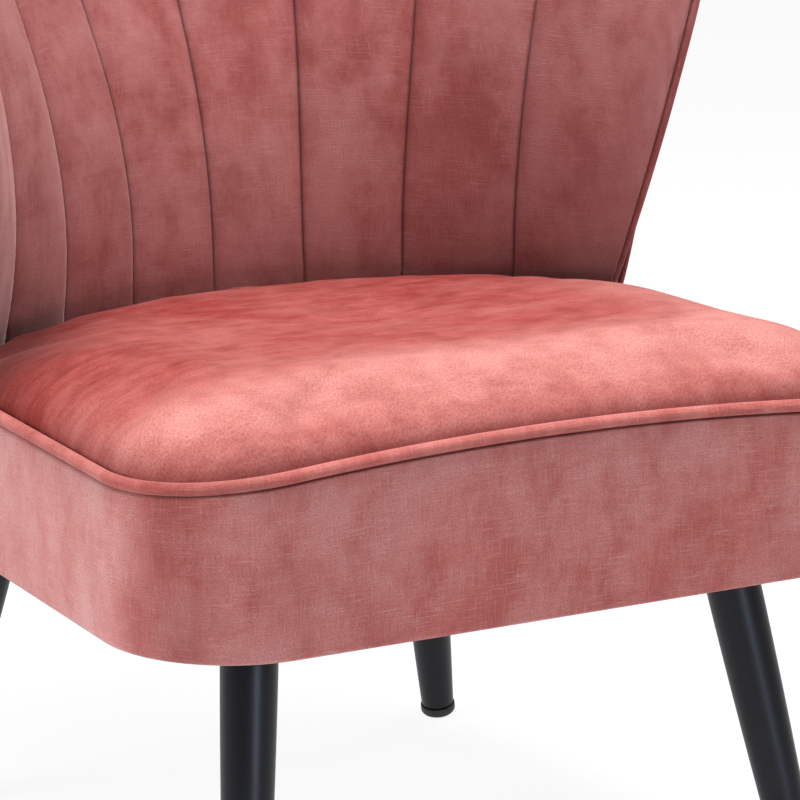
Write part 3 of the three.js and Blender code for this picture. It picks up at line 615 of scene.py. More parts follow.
@dataclass(frozen=True)
class Velvet:
    """Slub velvet: crushed patches, short crossing slubs and a soft pile, lighter when edge on.

    The colours deep, body and dusty run from the deepest pile to the most rubbed one, and dusty is
    also where painted light takes the colour. tint is the sheen's. dust, sheen, slub and grain are
    strengths, and brushed is the share of the strokes.
    mottle, threads, runs and pile are cells per metre, and lie is how much longer the cells of the
    pile are along the cloth's second direction.
    """

    name: str
    deep: Colour
    body: Colour
    dusty_and_painted_light: Colour
    tint: Colour
    dust: float = 0.5
    sheen: float = 0.5
    slub: float = 0.5
    brushed: float = 0.2
    mottle: float = 30.0
    lie: float = 1.0
    grain: float = 1.5
    threads: float = 780.0
    runs: float = 50.0
    pile: float = 760.0

    def make(self) -> bpy.types.Material:
        """Makes the material; "seam" marks of the mesh darken it as seam lines and painted shade,
        and "nap" marks lighten it as painted light.

        Returns:
            The material.
        """
        g = Graph(bpy.data.materials.new(self.name))
        place = g.object_place()
        cloth = g.cloth_place()
        clouds = g.noise(place, (11.0, 11.0, 9.0), 2.0)
        patches = g.noise(place, (self.mottle, self.mottle, 0.6 * self.mottle), 5.0, 0.65)
        strokes = g.noise(cloth, (22.0, 90.0, 1.0), 4.0, 0.6)
        across = g.noise(cloth, (self.runs, self.threads / self.lie, 1.0), 2.0)
        upwards = g.noise(cloth, (self.threads, self.runs, 1.0), 2.0)
        areas = g.noise(cloth, (34.0, 34.0, 1.0), 2.0)
        pile = g.noise(cloth, (self.pile, self.pile / self.lie, 1.0), 3.0, 0.75)
        worn = clouds * 0.4 + patches * (0.6 - self.brushed) + strokes * self.brushed
        worn = worn.above(0.43, 0.61)
        slubs = across.above(0.50, 0.74) * areas.above(0.34, 0.62) + 0.6 * upwards.above(0.52, 0.76)
        # Painted light: the mesh's nap marks, broken up by the patches and strokes.
        painted_light = g.marks("painted_light") * (0.55 + patches * 0.7 - strokes * 0.25)
        shade = g.mix(patches.above(0.36, 0.62), self.deep, self.body)
        # Rubbed dust and painted light both draw the colour towards dusty.
        dust_and_painted_light_mix = g.mix((worn * self.dust + painted_light).clamp(), shade, self.dusty_and_painted_light)
        slubbed = g.mix(slubs * self.slub, dust_and_painted_light_mix, toned(self.dusty_and_painted_light, 1.15))
        grained = g.mix((pile - 0.42) * self.grain, slubbed, toned(self.deep, 0.5))
        # Seam lines and painted shade from the mesh's seam marks darken the colour.
        colour = g.mix(0.88 * g.marks("seam"), grained, toned(self.deep, 0.2))
        soft = g.bump(patches * 0.6 + strokes * 0.4, 0.0016, 0.4)
        weave = g.bump(slubs * (1.2 * self.slub) + pile, 0.0004, 0.8, soft)
        return g.finish({
            "Base Color": colour, "Roughness": 0.9 - 0.12 * worn, "Normal": weave,
            "Specular IOR Level": 0.12, "Sheen Weight": self.sheen, "Sheen Roughness": 0.32,
            "Sheen Tint": (*self.tint, 1.0),
        })


@dataclass(frozen=True)
class PowderCoat:
    """Satin black powder coat with a faint orange peel."""

    name: str
    colour: Colour = (0.004, 0.0038, 0.008)

    def make(self) -> bpy.types.Material:
        """Makes the material.

        Returns:
            The material.
        """
        g = Graph(bpy.data.materials.new(self.name))
        place = g.object_place()
        peel = g.noise(place, even(1400.0), 2.0)
        handled = g.noise(place, (30.0, 30.0, 14.0), 3.0)
        colour = g.mix(handled.above(0.35, 0.7) * 0.5, self.colour, toned(self.colour, 1.7))
        rough = 0.42 + (handled - 0.5) * 0.12 + (peel - 0.5) * 0.06
        return g.finish({
            "Base Color": colour, "Roughness": rough, "Normal": g.bump(peel, 0.0001, 0.35),
            "Specular IOR Level": 0.25, "Coat Weight": 0.08, "Coat Roughness": 0.35,
        })


@dataclass(frozen=True)
class Moulded:
    """Black moulded plastic with a fine spark-eroded grain."""

    name: str
    colour: Colour = (0.012, 0.012, 0.013)

    def make(self) -> bpy.types.Material:
        """Makes the material.

        Returns:
            The material.
        """
        g = Graph(bpy.data.materials.new(self.name))
        place = g.object_place()
        grain = g.noise(place, even(3000.0), 1.0)
        scuffs = g.noise(place, (220.0, 220.0, 60.0), 4.0, 0.65).above(0.56, 0.72)
        colour = g.mix(scuffs * 0.35, self.colour, (0.05, 0.05, 0.052))
        return g.finish({
            "Base Color": colour, "Roughness": 0.5 + scuffs * 0.2,
            "Normal": g.bump(grain, 0.0001, 0.3),
        })


@dataclass(frozen=True)
class Timber:
    """Sawn softwood or the face of a bent board: long grain with darker growth lines."""

    name: str
    light: Colour
    dark: Colour
    stretch: Place

    def make(self) -> bpy.types.Material:
        """Makes the material.

        Returns:
            The material.
        """
        g = Graph(bpy.data.materials.new(self.name))
        place = g.object_place()
        rings = g.noise(place, self.stretch, 5.0, 0.6)
        fibre = g.noise(place, tuple(9.0 * s for s in self.stretch), 3.0)
        colour = g.mix(rings.above(0.35, 0.65), self.light, self.dark)
        lined = g.mix(fibre.above(0.45, 0.8) * 0.4, colour, self.dark)
        return g.finish({
            "Base Color": lined, "Roughness": 0.7 + (fibre - 0.5) * 0.15,
            "Normal": g.bump(fibre, 0.0004, 0.4),
        })


@dataclass(frozen=True)
class Webbing:
    """Dark woven tape or non-woven lining, with crossing threads."""

    name: str
    colour: Colour
    thread: Colour
    pitch: float

    def make(self) -> bpy.types.Material:
        """Makes the material.

        Returns:
            The material.
        """
        g = Graph(bpy.data.materials.new(self.name))
        place = g.object_place()
        cells = math.tau / self.pitch
        parts = g.node("ShaderNodeSeparateXYZ", {}, {0: place})
        along = g.math("SINE", Value(g, parts.outputs[0]) * cells)
        across = g.math("SINE", Value(g, parts.outputs[1]) * cells)
        weave = along * across * 0.5 + 0.5
        fuzz = g.noise(place, even(500.0), 3.0)
        colour = g.mix(weave * 0.6 + (fuzz - 0.5) * 0.4, self.colour, self.thread)
        return g.finish({
            "Base Color": colour, "Roughness": 0.88 + (fuzz - 0.5) * 0.1,
            "Normal": g.bump(weave + fuzz * 0.4, 0.0004, 0.5),
        })


@dataclass(frozen=True)
class Zinc:
    """Bright zinc-plated steel with a light brushed grain."""

    name: str
    colour: Colour = (0.55, 0.56, 0.58)

    def make(self) -> bpy.types.Material:
        """Makes the material.

        Returns:
            The material.
        """
        g = Graph(bpy.data.materials.new(self.name))
        place = g.object_place()
        brushed = g.noise(place, (1200.0, 1200.0, 30.0), 2.0)
        dull_and_painted_shade = g.noise(place, even(60.0), 4.0)
        colour = g.mix(dull_and_painted_shade.above(0.4, 0.7) * 0.4, self.colour, (0.42, 0.41, 0.38))
        return g.finish({
            "Base Color": colour, "Metallic": 1.0, "Roughness": 0.32 + (dull_and_painted_shade - 0.5) * 0.2,
            "Normal": g.bump(brushed, 0.0001, 0.3),
        })


class Finish(Enum):
    """The finishes of the chair, each made once when it is first used."""

    # The seat, band, back and welt velvets are one cloth: their colours and sheen tints differ as
    # painted light and shade, lighter on the band and welt, darker on the back and seat.
    SEAT_VELVET = Velvet(
        "seat velvet", (0.25, 0.026, 0.022), (0.335, 0.041, 0.035), (0.60, 0.245, 0.220),
        tint=(1.0, 0.50, 0.46), dust=0.30, sheen=0.30, slub=0.14, brushed=0.35, mottle=46.0,
        lie=1.7, grain=2.0,
    )
    BAND_VELVET = Velvet(
        "band velvet", (0.42, 0.110, 0.101), (0.51, 0.145, 0.134), (0.60, 0.315, 0.305),
        tint=(1.0, 0.80, 0.78), dust=0.55, grain=2.3,
    )
    BACK_VELVET = Velvet(
        "back velvet", (0.25, 0.064, 0.059), (0.325, 0.100, 0.093), (0.41, 0.190, 0.185),
        tint=(1.0, 0.70, 0.67), dust=0.45, sheen=0.36, slub=0.28, grain=1.3,
    )
    WELT_VELVET = Velvet(
        "welt velvet", (0.40, 0.085, 0.075), (0.52, 0.135, 0.118), (0.64, 0.26, 0.24),
        tint=(1.0, 0.66, 0.62), dust=0.4,
    )
    POWDER_COAT = PowderCoat("black powder coat")
    PLASTIC = Moulded("black plastic")
    SOFTWOOD = Timber("sawn softwood", (0.62, 0.43, 0.24), (0.44, 0.27, 0.13), (60.0, 60.0, 6.0))
    BOARD = Timber("bent board", (0.50, 0.33, 0.18), (0.34, 0.20, 0.10), (40.0, 40.0, 5.0))
    STRAP = Webbing("elastic strap", (0.02, 0.02, 0.02), (0.06, 0.058, 0.055), 0.0022)
    LINING = Webbing("dust lining", (0.012, 0.012, 0.013), (0.03, 0.03, 0.032), 0.0012)
    ZINC = Zinc("zinc plate")

    def material(self) -> bpy.types.Material:
        """The finish's material."""
        return bpy.data.materials.get(self.value.name) or self.value.make()


def dress(
    piece: bpy.types.Object, finish: Finish, replaced: list[str],
) -> None:
    """Gives a new piece its finish and its place in the frame.

    Args:
        piece: The piece.
        finish: Its finish.
        replaced: CAD nodes that it stands for.
    """
    piece.data.materials.clear()
    piece.data.materials.append(finish.material())
    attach(piece, "root")
    if replaced:
        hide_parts(*replaced)
    log.info("%s: %d faces", piece.name, len(piece.data.polygons))


# The seat box


def arc(middle: Place, start: float, end: float, steps: int) -> tuple[Array, Array]:
    """Arc of even angles, anticlockwise.

    Args:
        middle: Its middle as x and y, and its radius.
        start: Angle of its first point.
        end: Angle of its last point.
        steps: Number of points.

    Returns:
        Points and outward directions, each an array of x, y.
    """
    angle = np.linspace(start, end, steps)
    out = np.stack([np.cos(angle), np.sin(angle)], axis=1)
    return np.array(middle[:2]) + middle[2] * out, out


def straight(start: Array, end: Array, out: Array, steps: int) -> tuple[Array, Array]:
    """Straight run of even steps without its two ends, and its outward direction at each point."""
    share = np.linspace(0, 1, steps)[1:-1, None]
    return start + (end - start) * share, np.broadcast_to(out, (steps - 2, 2))


@dataclass(frozen=True)
class SeatPlan:
    """Plan of the seat box: straight front, round corners, and sides that close in to the rear.

    rear_run is the straight run between the rear corners, and arch is how far the top edge rises in
    the middle of the front.
    """

    front_width: float = 0.592
    rear_width: float = 0.552
    depth: float = 0.575
    front_radius: float = 0.096
    rear_run: float = 0.204
    arch: float = 0.018

    @property
    def slope(self) -> float:
        """How far each side closes in per metre of depth."""
        return (self.front_width - self.rear_width) / 2 / self.depth

    @property
    def rear_radius(self) -> float:
        """Radius of the rear corners, which leaves a straight run between them."""
        return (self.rear_width - self.rear_run) / 2 / (math.hypot(1, self.slope) - self.slope)

    def half_at(self, y: Array | float, inset: float = 0.0) -> Array | float:
        """Half width at a depth, inside a wall of the given inset."""
        return self.front_width / 2 - self.slope * y - inset * math.hypot(1, self.slope)

    def half(self) -> tuple[Array, Array]:
        """Right half of the outline, from the front centre to the rear centre.

        Straight runs are even steps and each corner is an arc of even angles.

        Returns:
            Points and outward directions, each an array of x, y.
        """
        tilt = math.atan(self.slope)
        front_x = self.half_at(self.front_radius, self.front_radius)
        rear_y = self.depth - self.rear_radius
        rear_x = self.half_at(rear_y, self.rear_radius)
        round_front = (front_x, self.front_radius, self.front_radius)
        corner, corner_out = arc(round_front, -math.pi / 2, tilt, steps=26)
        round_rear = (rear_x, rear_y, self.rear_radius)
        rear, rear_out = arc(round_rear, tilt, math.pi / 2, steps=34)
        before_centre = np.array([-corner[0, 0] / 14, 0.0])
        last = np.array([0.0, self.depth])
        front = straight(before_centre, corner[0], np.array([0.0, -1.0]), steps=17)
        side = straight(corner[-1], rear[0], corner_out[-1], steps=26)
        back = straight(rear[-1], last, np.array([0.0, 1.0]), steps=10)
        points = np.concatenate([front[0], corner, side[0], rear, back[0], last[None]])
        points[0, 0] = 0.0
        out = np.concatenate([front[1], corner_out, side[1], rear_out, back[1], [[0.0, 1.0]]])
        return points, out

    def loop(self) -> tuple[Array, Array, Array]:
        """Whole outline, anticlockwise from the front centre.

        Returns:
            Points, outward directions, and lengths along the outline with the whole length last.
        """
        right, out = self.half()
        points = mirrored(right, FLIP)
        return points, mirrored(out, FLIP), lengths(points, True)

    def arch_at(self, points: Array) -> Array:
        """How far the top edge arches up: a parabola across, which fades as a square to the rear.

        Args:
            points: Points of the outline, with x and y last.

        Returns:
            Heights, in the shape of the points.
        """
        across = points[..., 0] / (self.front_width / 2)
        along = np.clip(1 - points[..., 1] / self.depth, 0, 1)
        return self.arch * np.maximum(1 - across ** 2, 0) * along ** 2


@dataclass
class SeatBox:
    """Padded band round the seat box, and the welt on its top edge.

    bulge is how far the band's face bows out, and sway how uneven it is. The shades are amounts of
    the velvet's painted shade: top_shade under the welt, corner_shade round the left front corner,
    and welt_shade on the left of the welt. side_painted_light is the amount of painted light on the
    band's left side.
    """

    plan: SeatPlan = field(default_factory=SeatPlan)
    underside: float = 0.257
    height: float = 0.110
    thickness: float = 0.0078
    top_round: float = 0.003
    foot_round: float = 0.006
    bulge: float = 0.0016
    sway: float = 0.0006
    side_painted_light: float = 0.5
    top_shade: float = 0.28
    shade_reach: float = 0.012
    corner_shade: float = 0.42
    welt_shade: float = 0.34
    welt_radius: float = 0.0045
    welt_inset: float = 0.0035
    welt_level: float = 0.3718

    def band(self) -> bpy.types.Object:
        """Band: a closed profile carried round the outline.

        The face bows out as a sine of its height and is rounded under at the foot; the top follows
        the arch. Its painted shade falls off as exp(-d / shade_reach) below the welt, and rises and
        falls as a sine round the left corner; its left side gets painted light.

        Returns:
            The piece.
        """
        points, out, run = self.plan.loop()
        top = self.underside + self.height + self.plan.arch_at(points)
        steps = 6
        quarter = np.linspace(0, math.pi / 2, steps)
        r, f = self.top_round, self.foot_round
        face = np.linspace(0, 1, 18)[1:-1]
        bow = np.sin(math.pi * face)
        inset = np.concatenate([
            r - r * np.cos(quarter[::-1]), -self.bulge * bow ** 0.8, f - f * np.cos(quarter),
            np.full(steps, self.thickness),
        ])
        share = np.concatenate([
            np.ones(steps), 1 - face, np.zeros(steps), np.linspace(0, 1, steps),
        ])
        lift = np.concatenate([
            -r * (1 - np.sin(quarter[::-1])), -r * (1 - face) + f * face, f * (1 - np.sin(quarter)),
            np.zeros(steps),
        ])
        z = self.underside + (top - self.underside)[None, :] * share[:, None] + lift[:, None]
        on_face = np.concatenate([np.zeros(steps), bow, np.zeros(2 * steps)])
        sway = self.sway * unevenness(run[None, :-1], z, wave=0.16, seed=3) * on_face[:, None]
        place = points[None] - out[None] * (inset[:, None] - sway)[..., None]
        grid = np.concatenate([place, z[..., None]], axis=2)
        girth = lengths(grid[:, 0])
        last_step = 0.004
        cloth = cloth_map(run, np.append(girth, girth[-1] + last_step))
        skin = Skin()
        skin.grid(grid, cloth, ring_rows=True, ring_columns=True)
        piece = skin.build("seat_band_velvet", sharp=50)
        left = -out[:, 0]
        # Painted shade round the left front corner and under the welt.
        corner = self.corner_shade * np.sin(math.pi * np.clip(left, 0, 1) ** 3) * (out[:, 1] < 0)
        under = self.top_shade * np.exp(-np.abs(top - z) / self.shade_reach)
        mark(piece, "seam", np.maximum(under, corner))
        # Painted light on the band's left side.
        mark(piece, "painted_light", np.broadcast_to(self.side_painted_light * ease(left, 0.88, 1.0), z.shape))
        dress(piece, Finish.BAND_VELVET, ["seat_band"])
        return piece

    def welt(self) -> bpy.types.Object:
        """Welt on the band's top edge: a round tube that follows the arch, with painted shade on
        the left.

        Returns:
            The piece.
        """
        points, out, _ = self.plan.loop()
        level = self.welt_level + self.plan.arch_at(points)
        path = np.concatenate([points - out * self.welt_inset, level[:, None]], axis=1)
        side = np.concatenate([out, np.zeros((len(out), 1))], axis=1)
        sides = 16
        piece = tube(path, side, self.welt_radius, sides, ring=True).build("seat_welt_velvet")
        left = -out[:, 0]
        # Painted shade on the left of the welt.
        dull_and_painted_shade = self.welt_shade * (ease(left, 0.05, 0.4) - 0.35 * ease(left, 0.9, 1.0))
        mark(piece, "seam", np.broadcast_to(dull_and_painted_shade[None, :], (sides, len(points))))
        dress(piece, Finish.WELT_VELVET, ["seat_welt"])
        return piece


# The back


@dataclass
class BackForm:
    """The curved sheet that the back's seams lie on, and the layers in front of it and behind it.

    A place p is a share of the channels from the centre line, and rise is a height above the bend.
    The centre line stands upright at depth up to the bend, then leans back. The edges of the wings
    lie at the depths reach_seat and reach_top and the half widths half_seat and half_top, at the
    bend and wing_rise above it, and square is the part of s^4 in the curve across. The rim rises
    from shoulder to top. seams holds each seam's share of the half width, for each of the heights.
    The pad behind the sheet thins from pad to pad_edge over pad_taper, and roll is how far in from
    the edge its round starts. flute is a channel's height, of which a share flute_at_crease is left
    at the crease; it comes back between the two heights of flute_fade.
    """

    top: float = 0.790
    depth: float = 0.507
    bend: float = 0.400
    bend_radius: float = 0.400
    lean: float = math.radians(28)
    shoulder: float = 0.600
    wing_rise: float = 0.250
    half_seat: float = 0.268
    half_top: float = 0.300
    reach_seat: float = 0.360
    reach_top: float = 0.296
    square: float = 0.09
    rim_power: float = 3.0
    channels: int = 4
    heights: tuple[float, ...] = (0.0, 0.32, 0.64, 1.0)
    seams: tuple[tuple[float, ...], ...] = (
        (0.272, 0.534, 0.795), (0.278, 0.537, 0.768), (0.318, 0.58, 0.787), (0.345, 0.61, 0.82),
    )
    pad: float = 0.020
    pad_edge: float = 0.003
    pad_taper: float = 0.090
    roll: float = 0.028
    flute: float = 0.007
    flute_power: float = 0.75
    flute_at_crease: float = 0.55
    flute_fade: tuple[float, float] = (-0.03, 0.07)

    @property
    def height(self) -> float:
        """Height of the back above the bend."""
        return self.top - self.bend

    def across(self, p: Array, rise: Array) -> Array:
        """Share of the half width of a place p, from the seams' shares at four heights.

        Each seam's share is a cubic through its four values, and a place between seams is a
        straight mix of the seams beside it.

        Args:
            p: Place across.
            rise: Height above the bend, in the same shape.

        Returns:
            Shares from none at the centre line to one at the wings.
        """
        at = np.clip(rise / self.height, 0, 1)
        values = np.array(self.seams)
        lines = [np.zeros_like(at)]
        for seam in range(values.shape[1]):
            total = np.zeros_like(at)
            for i, here in enumerate(self.heights):
                weight = np.ones_like(at)
                for other in self.heights[:i] + self.heights[i + 1:]:
                    weight = weight * (at - other) / (here - other)
                total = total + weight * values[i, seam]
            lines.append(total)
        lines.append(np.ones_like(at))
        stack = np.stack(lines)
        place = np.clip(np.abs(p), 0, 1) * self.channels
        cell = np.minimum(place.astype(int), self.channels - 1)
        low = np.take_along_axis(stack, cell[None], axis=0)[0]
        high = np.take_along_axis(stack, cell[None] + 1, axis=0)[0]
        return low + (high - low) * (place - cell)

    def middle_depth(self, rise: Array) -> Array:
        """Depth of the centre line: upright to the bend, an arc, then a straight lean.

        Args:
            rise: Height above the bend.

        Returns:
            Depths.
        """
        arc_top = self.bend_radius * math.sin(self.lean)
        on_arc = np.clip(rise, 0, arc_top)
        arc = self.bend_radius - np.sqrt(self.bend_radius ** 2 - on_arc ** 2)
        return self.depth + arc + np.maximum(rise - arc_top, 0) * math.tan(self.lean)

    def point(self, p: Array, rise: Array) -> Array:
        """Point of the sheet: it comes forward of the centre line by a mix of s^2 and s^4.

        Here s is the share of the half width.

        Args:
            p: Place across, from -1 to 1.
            rise: Height above the bend.

        Returns:
            Points, with x, y, z last.
        """
        p, rise = np.broadcast_arrays(np.asarray(p, float), np.asarray(rise, float))
        up = rise / self.wing_rise
        half = self.half_seat + (self.half_top - self.half_seat) * up * up
        wing = self.reach_top + (self.reach_seat - self.reach_top) * (1 - up) ** 2
        share = self.across(p, rise)
        curve = (1 - self.square) * share ** 2 + self.square * share ** 4
        middle = self.middle_depth(rise)
        forward = (middle - wing) * curve
        return np.stack([np.sign(p) * half * share, middle - forward, self.bend + rise], axis=-1)

    def normal(self, p: Array, rise: Array) -> Array:
        """Direction square to the sheet, away from the sitter, from its slopes both ways.

        Args:
            p: Place across, from -1 to 1.
            rise: Height above the bend.

        Returns:
            Unit directions, with x, y, z last.
        """
        step = 0.001
        inside = np.clip(p, -1 + step, 1 - step)
        sideways = self.point(inside + step, rise) - self.point(inside - step, rise)
        upwards = self.point(inside, rise + step) - self.point(inside, rise - step)
        square = np.cross(upwards, sideways)
        return square / np.linalg.norm(square, axis=-1, keepdims=True)

    def rim(self, p: Array) -> Array:
        """Height of the rim above the bend: a superellipse from the shoulders over the top.

        Args:
            p: Place across, from -1 to 1.

        Returns:
            Heights.
        """
        shoulder = self.shoulder - self.bend
        inside = np.maximum(1 - np.abs(p) ** self.rim_power, 0) ** (1 / self.rim_power)
        return shoulder + (self.height - shoulder) * inside

    def edge_distance(self, p: Array, rise: Array) -> Array:
        """Distance to the nearest free edge, at the side or straight up.

        Args:
            p: Place across, from -1 to 1.
            rise: Height above the bend.

        Returns:
            Distances.
        """
        p, rise = np.broadcast_arrays(np.asarray(p, float), np.asarray(rise, float))
        wing = self.point(np.where(p < 0, -1.0, 1.0), rise)
        side = np.linalg.norm(self.point(p, rise) - wing, axis=-1)
        return np.maximum(np.minimum(side, self.rim(p) - rise), 0)

    def pad_depth(self, p: Array, rise: Array) -> Array:
        """How far behind the sheet the pad ends."""
        share = 1 - np.clip(self.edge_distance(p, rise) / self.pad_taper, 0, 1)
        return self.pad - (self.pad - self.pad_edge) * share ** 2

    def layer(self, p: Array, rise: Array, depth: Array) -> Array:
        """Point of a layer at a depth behind the sheet."""
        return self.point(p, rise) + self.normal(p, rise) * np.asarray(depth)[..., None]

    def flute_height(self, p: Array, rise: Array) -> Array:
        """How far a channel stands proud: a flattened sine between seams, less at edge and crease.

        Args:
            p: Place across, from -1 to 1.
            rise: Height above the bend.

        Returns:
            Heights in front of the sheet.
        """
        share = np.abs(p) * self.channels % 1.0
        wave = np.maximum(np.sin(math.pi * share), 0) ** self.flute_power
        roll = quarter_round(self.edge_distance(p, rise), self.roll)
        free = ease(np.asarray(rise, float), *self.flute_fade)
        crease = self.flute_at_crease + (1 - self.flute_at_crease) * free
        return self.flute * wave * (1 - roll) * crease

    def seam_distance(self, p: Array, rise: Array) -> Array:
        """Straight distance to the nearest seam between channels, at the same height.

        Args:
            p: Place across, from -1 to 1.
            rise: Height above the bend.

        Returns:
            Distances.
        """
        p, rise = np.broadcast_arrays(np.asarray(p, float), np.asarray(rise, float))
        near = np.clip(np.round(np.abs(p) * self.channels), 0, self.channels - 1) / self.channels
        seam = self.point(np.where(p < 0, -near, near), rise)
        return np.linalg.norm(self.point(p, rise) - seam, axis=-1)


@dataclass
class ShellBack:
    """The back: channelled inner face, outer cover, and the welt between them.

    The inner face starts at pad_foot, with its channels at a share start of their height, which the
    filling makes up. A seam's groove and tuck are a narrow and a wide dent, each with its depth and
    its width, and puckers stand beside it. Dents and puckers fade out towards the free edge over
    edge_calm, and the sway of the cloth over sway_reach from a seam. The outer cover starts at
    foot, flush with the seat box, and comes to its place behind the pad over flare. outer_gap
    leaves room for the board, rim_room more at the edge, and outer_hollow more low in the middle,
    which fades out between the heights hollow_fade. The welt lies in the slot between the covers.
    """

    form: BackForm = field(default_factory=BackForm)
    plan: SeatPlan = field(default_factory=SeatPlan)
    pad_foot: float = 0.3673
    foot: float = 0.3766
    groove: tuple[float, float] = (0.0016, 0.0012)
    tuck: tuple[float, float] = (0.0014, 0.008)
    pucker: float = 0.00016
    pucker_place: float = 0.004
    pucker_pitch: float = 0.0105
    edge_drop: float = 0.002
    edge_calm: float = 0.012
    sway: float = 0.0006
    sway_reach: float = 0.02
    outer_thickness: float = 0.0045
    outer_inset: float = 0.002
    outer_gap: float = 0.0096
    outer_sway: float = 0.0005
    outer_calm: float = 0.02
    outer_hollow: float = 0.026
    rim_room: float = 0.0018
    half_width: float = 0.316
    hollow_fade: tuple[float, float] = (0.470, 0.690)
    slot: float = 0.0114
    flare: float = 0.130
    edge_follow: float = 6.0
    welt_radius: float = 0.004
    start: float = 0.55
    filling: Filling = Filling(cap=0.0032, stiffness=12.0, bending=3.0)

    def columns(self, fine: Array) -> Array:
        """Places across: the given shares inside each channel, and closer ones at the wings.

        Args:
            fine: Rising shares of a channel, from none to one.

        Returns:
            Rising places from -1 to 1.
        """
        cells = self.form.channels
        steps = np.concatenate([(k + fine[:-1]) / cells for k in range(cells - 1)])
        last = 1 - (1 - np.linspace(0, 1, 2 * len(fine) - 1)) ** 2.4
        wing = (cells - 1 + np.unique(np.concatenate([last, fine[: len(fine) // 2]]))) / cells
        right = np.concatenate([steps, wing])
        return np.concatenate([-right[:0:-1], right])

    def rows(self, p: Array, foot: float, inset: float, count: int) -> Array:
        """Heights of a grid's rows, from the foot to the rim and closer together at the rim.

        Args:
            p: Places of the grid's columns.
            foot: Height of the foot above the floor.
            inset: How far below the rim the last row lies.
            count: Number of rows.

        Returns:
            Heights above the bend, rows by columns.
        """
        low = foot - self.form.bend
        share = 1 - (1 - np.linspace(0, 1, count)) ** 1.35
        return low + (self.form.rim(p)[None, :] - inset - low) * share[:, None]

    def cloth(self, p: Array, rise: Array) -> Array:
        """Cloth map of a grid: length across from the centre line, and height.

        Args:
            p: Place across, from -1 to 1.
            rise: Height above the bend.

        Returns:
            Map, rows by columns by two.
        """
        steps = np.linalg.norm(np.diff(self.form.point(p, rise), axis=1), axis=2)
        run = np.pad(np.cumsum(steps, axis=1), ((0, 0), (1, 0)))
        middle = run.shape[1] // 2
        return np.stack([run - run[:, [middle]], rise], axis=2)

    def swelling(self, p: Array, share: Array) -> Array:
        """How far the channels' filling pushes the cover out, by a simulation held at each seam.

        It runs on a coarser grid, whose flutes start at less than their full height.

        Args:
            p: Places across, one for each of the piece's columns.
            share: Shares of the height, one for each of its rows.

        Returns:
            Heights in front of the cover as it starts, rows by columns.
        """
        form = self.form
        count = 66
        coarse = self.columns(np.linspace(0, 1, 11))
        rise = self.rows(coarse, self.pad_foot, inset=0.0, count=count)
        known = np.linspace(0, 1, count)
        grid, rise = np.broadcast_arrays(coarse[None, :], rise)
        roll = quarter_round(form.edge_distance(grid, rise), form.roll)
        depth = self.edge_drop * roll - self.start * form.flute_height(grid, rise)
        front = form.layer(grid, rise, depth)
        rear = form.layer(grid, rise, form.pad_depth(grid, rise))
        seam = np.abs(coarse * form.channels - np.round(coarse * form.channels)) < 1e-6
        held = np.broadcast_to(seam[None, :], grid.shape).copy()
        held[[0, 1, -1]] = True
        held[:, [0, -1]] = True
        moved = self.filling.swell(slab(front, rear, self.cloth(grid, rise), edge_steps=2), held)
        height = -np.sum(moved * form.normal(grid, rise), axis=2)
        return spread(spread(height, known, share).T, coarse, p).T

    def inner(self) -> bpy.types.Object:
        """Inner face: the sheet, pushed forward between the seams and drawn in along them.

        Height in front of the sheet is the flute, less a narrow and a wide dent exp(-(d / width)^2)
        on each seam, with small puckers beside it and a slow unevenness.

        Returns:
            The piece.
        """
        form = self.form
        fine = np.array([
            0, 0.008, 0.02, 0.045, 0.09, 0.16, 0.25, 0.37, 0.5,
            0.63, 0.75, 0.84, 0.91, 0.955, 0.98, 0.992, 1,
        ])
        count = 120
        p = self.columns(fine)[None, :]
        rise = self.rows(p[0], self.pad_foot, inset=0.0, count=count)
        swelling = self.swelling(p[0], np.linspace(0, 1, count))
        p, rise = np.broadcast_arrays(p, rise)
        cloth = self.cloth(p, rise)
        beside = form.seam_distance(p, rise)
        edge = form.edge_distance(p, rise)
        roll = quarter_round(edge, form.roll)
        calm = 1 - np.exp(-edge / self.edge_calm)
        puckers = np.exp(-((beside - self.pucker_place) / self.pucker_place) ** 2)
        puckers = puckers * np.sin(math.tau * rise / self.pucker_pitch + 9 * p)
        sway = unevenness(cloth[..., 0], cloth[..., 1], wave=0.11, seed=11)
        full = self.start
        sewn = (self.groove, self.tuck)
        dents = sum(deep * np.exp(-(beside / width) ** 2) for deep, width in sewn)
        uneven = self.pucker * puckers + self.sway * sway * np.clip(beside / self.sway_reach, 0, 1)
        proud = full * form.flute_height(p, rise) + swelling
        front = form.layer(p, rise, self.edge_drop * roll - proud + (dents - uneven) * calm)
        rear = form.layer(p, rise, form.pad_depth(p, rise))
        pad = slab(front, rear, cloth, belly=0.0004)
        piece = pad.build("back_channels_velvet", sharp=60)
        # Seam lines and painted shade, then painted light, for the velvet to read.
        mark(piece, "seam", self.seam_and_painted_shade_marks(p, rise, beside, calm))
        mark(piece, "painted_light", self.painted_light_marks(p, rise, edge))
        nodes = [f"back_channel_{k + 1}" for k in range(2 * form.channels)]
        dress(piece, Finish.BACK_VELVET, nodes)
        return piece

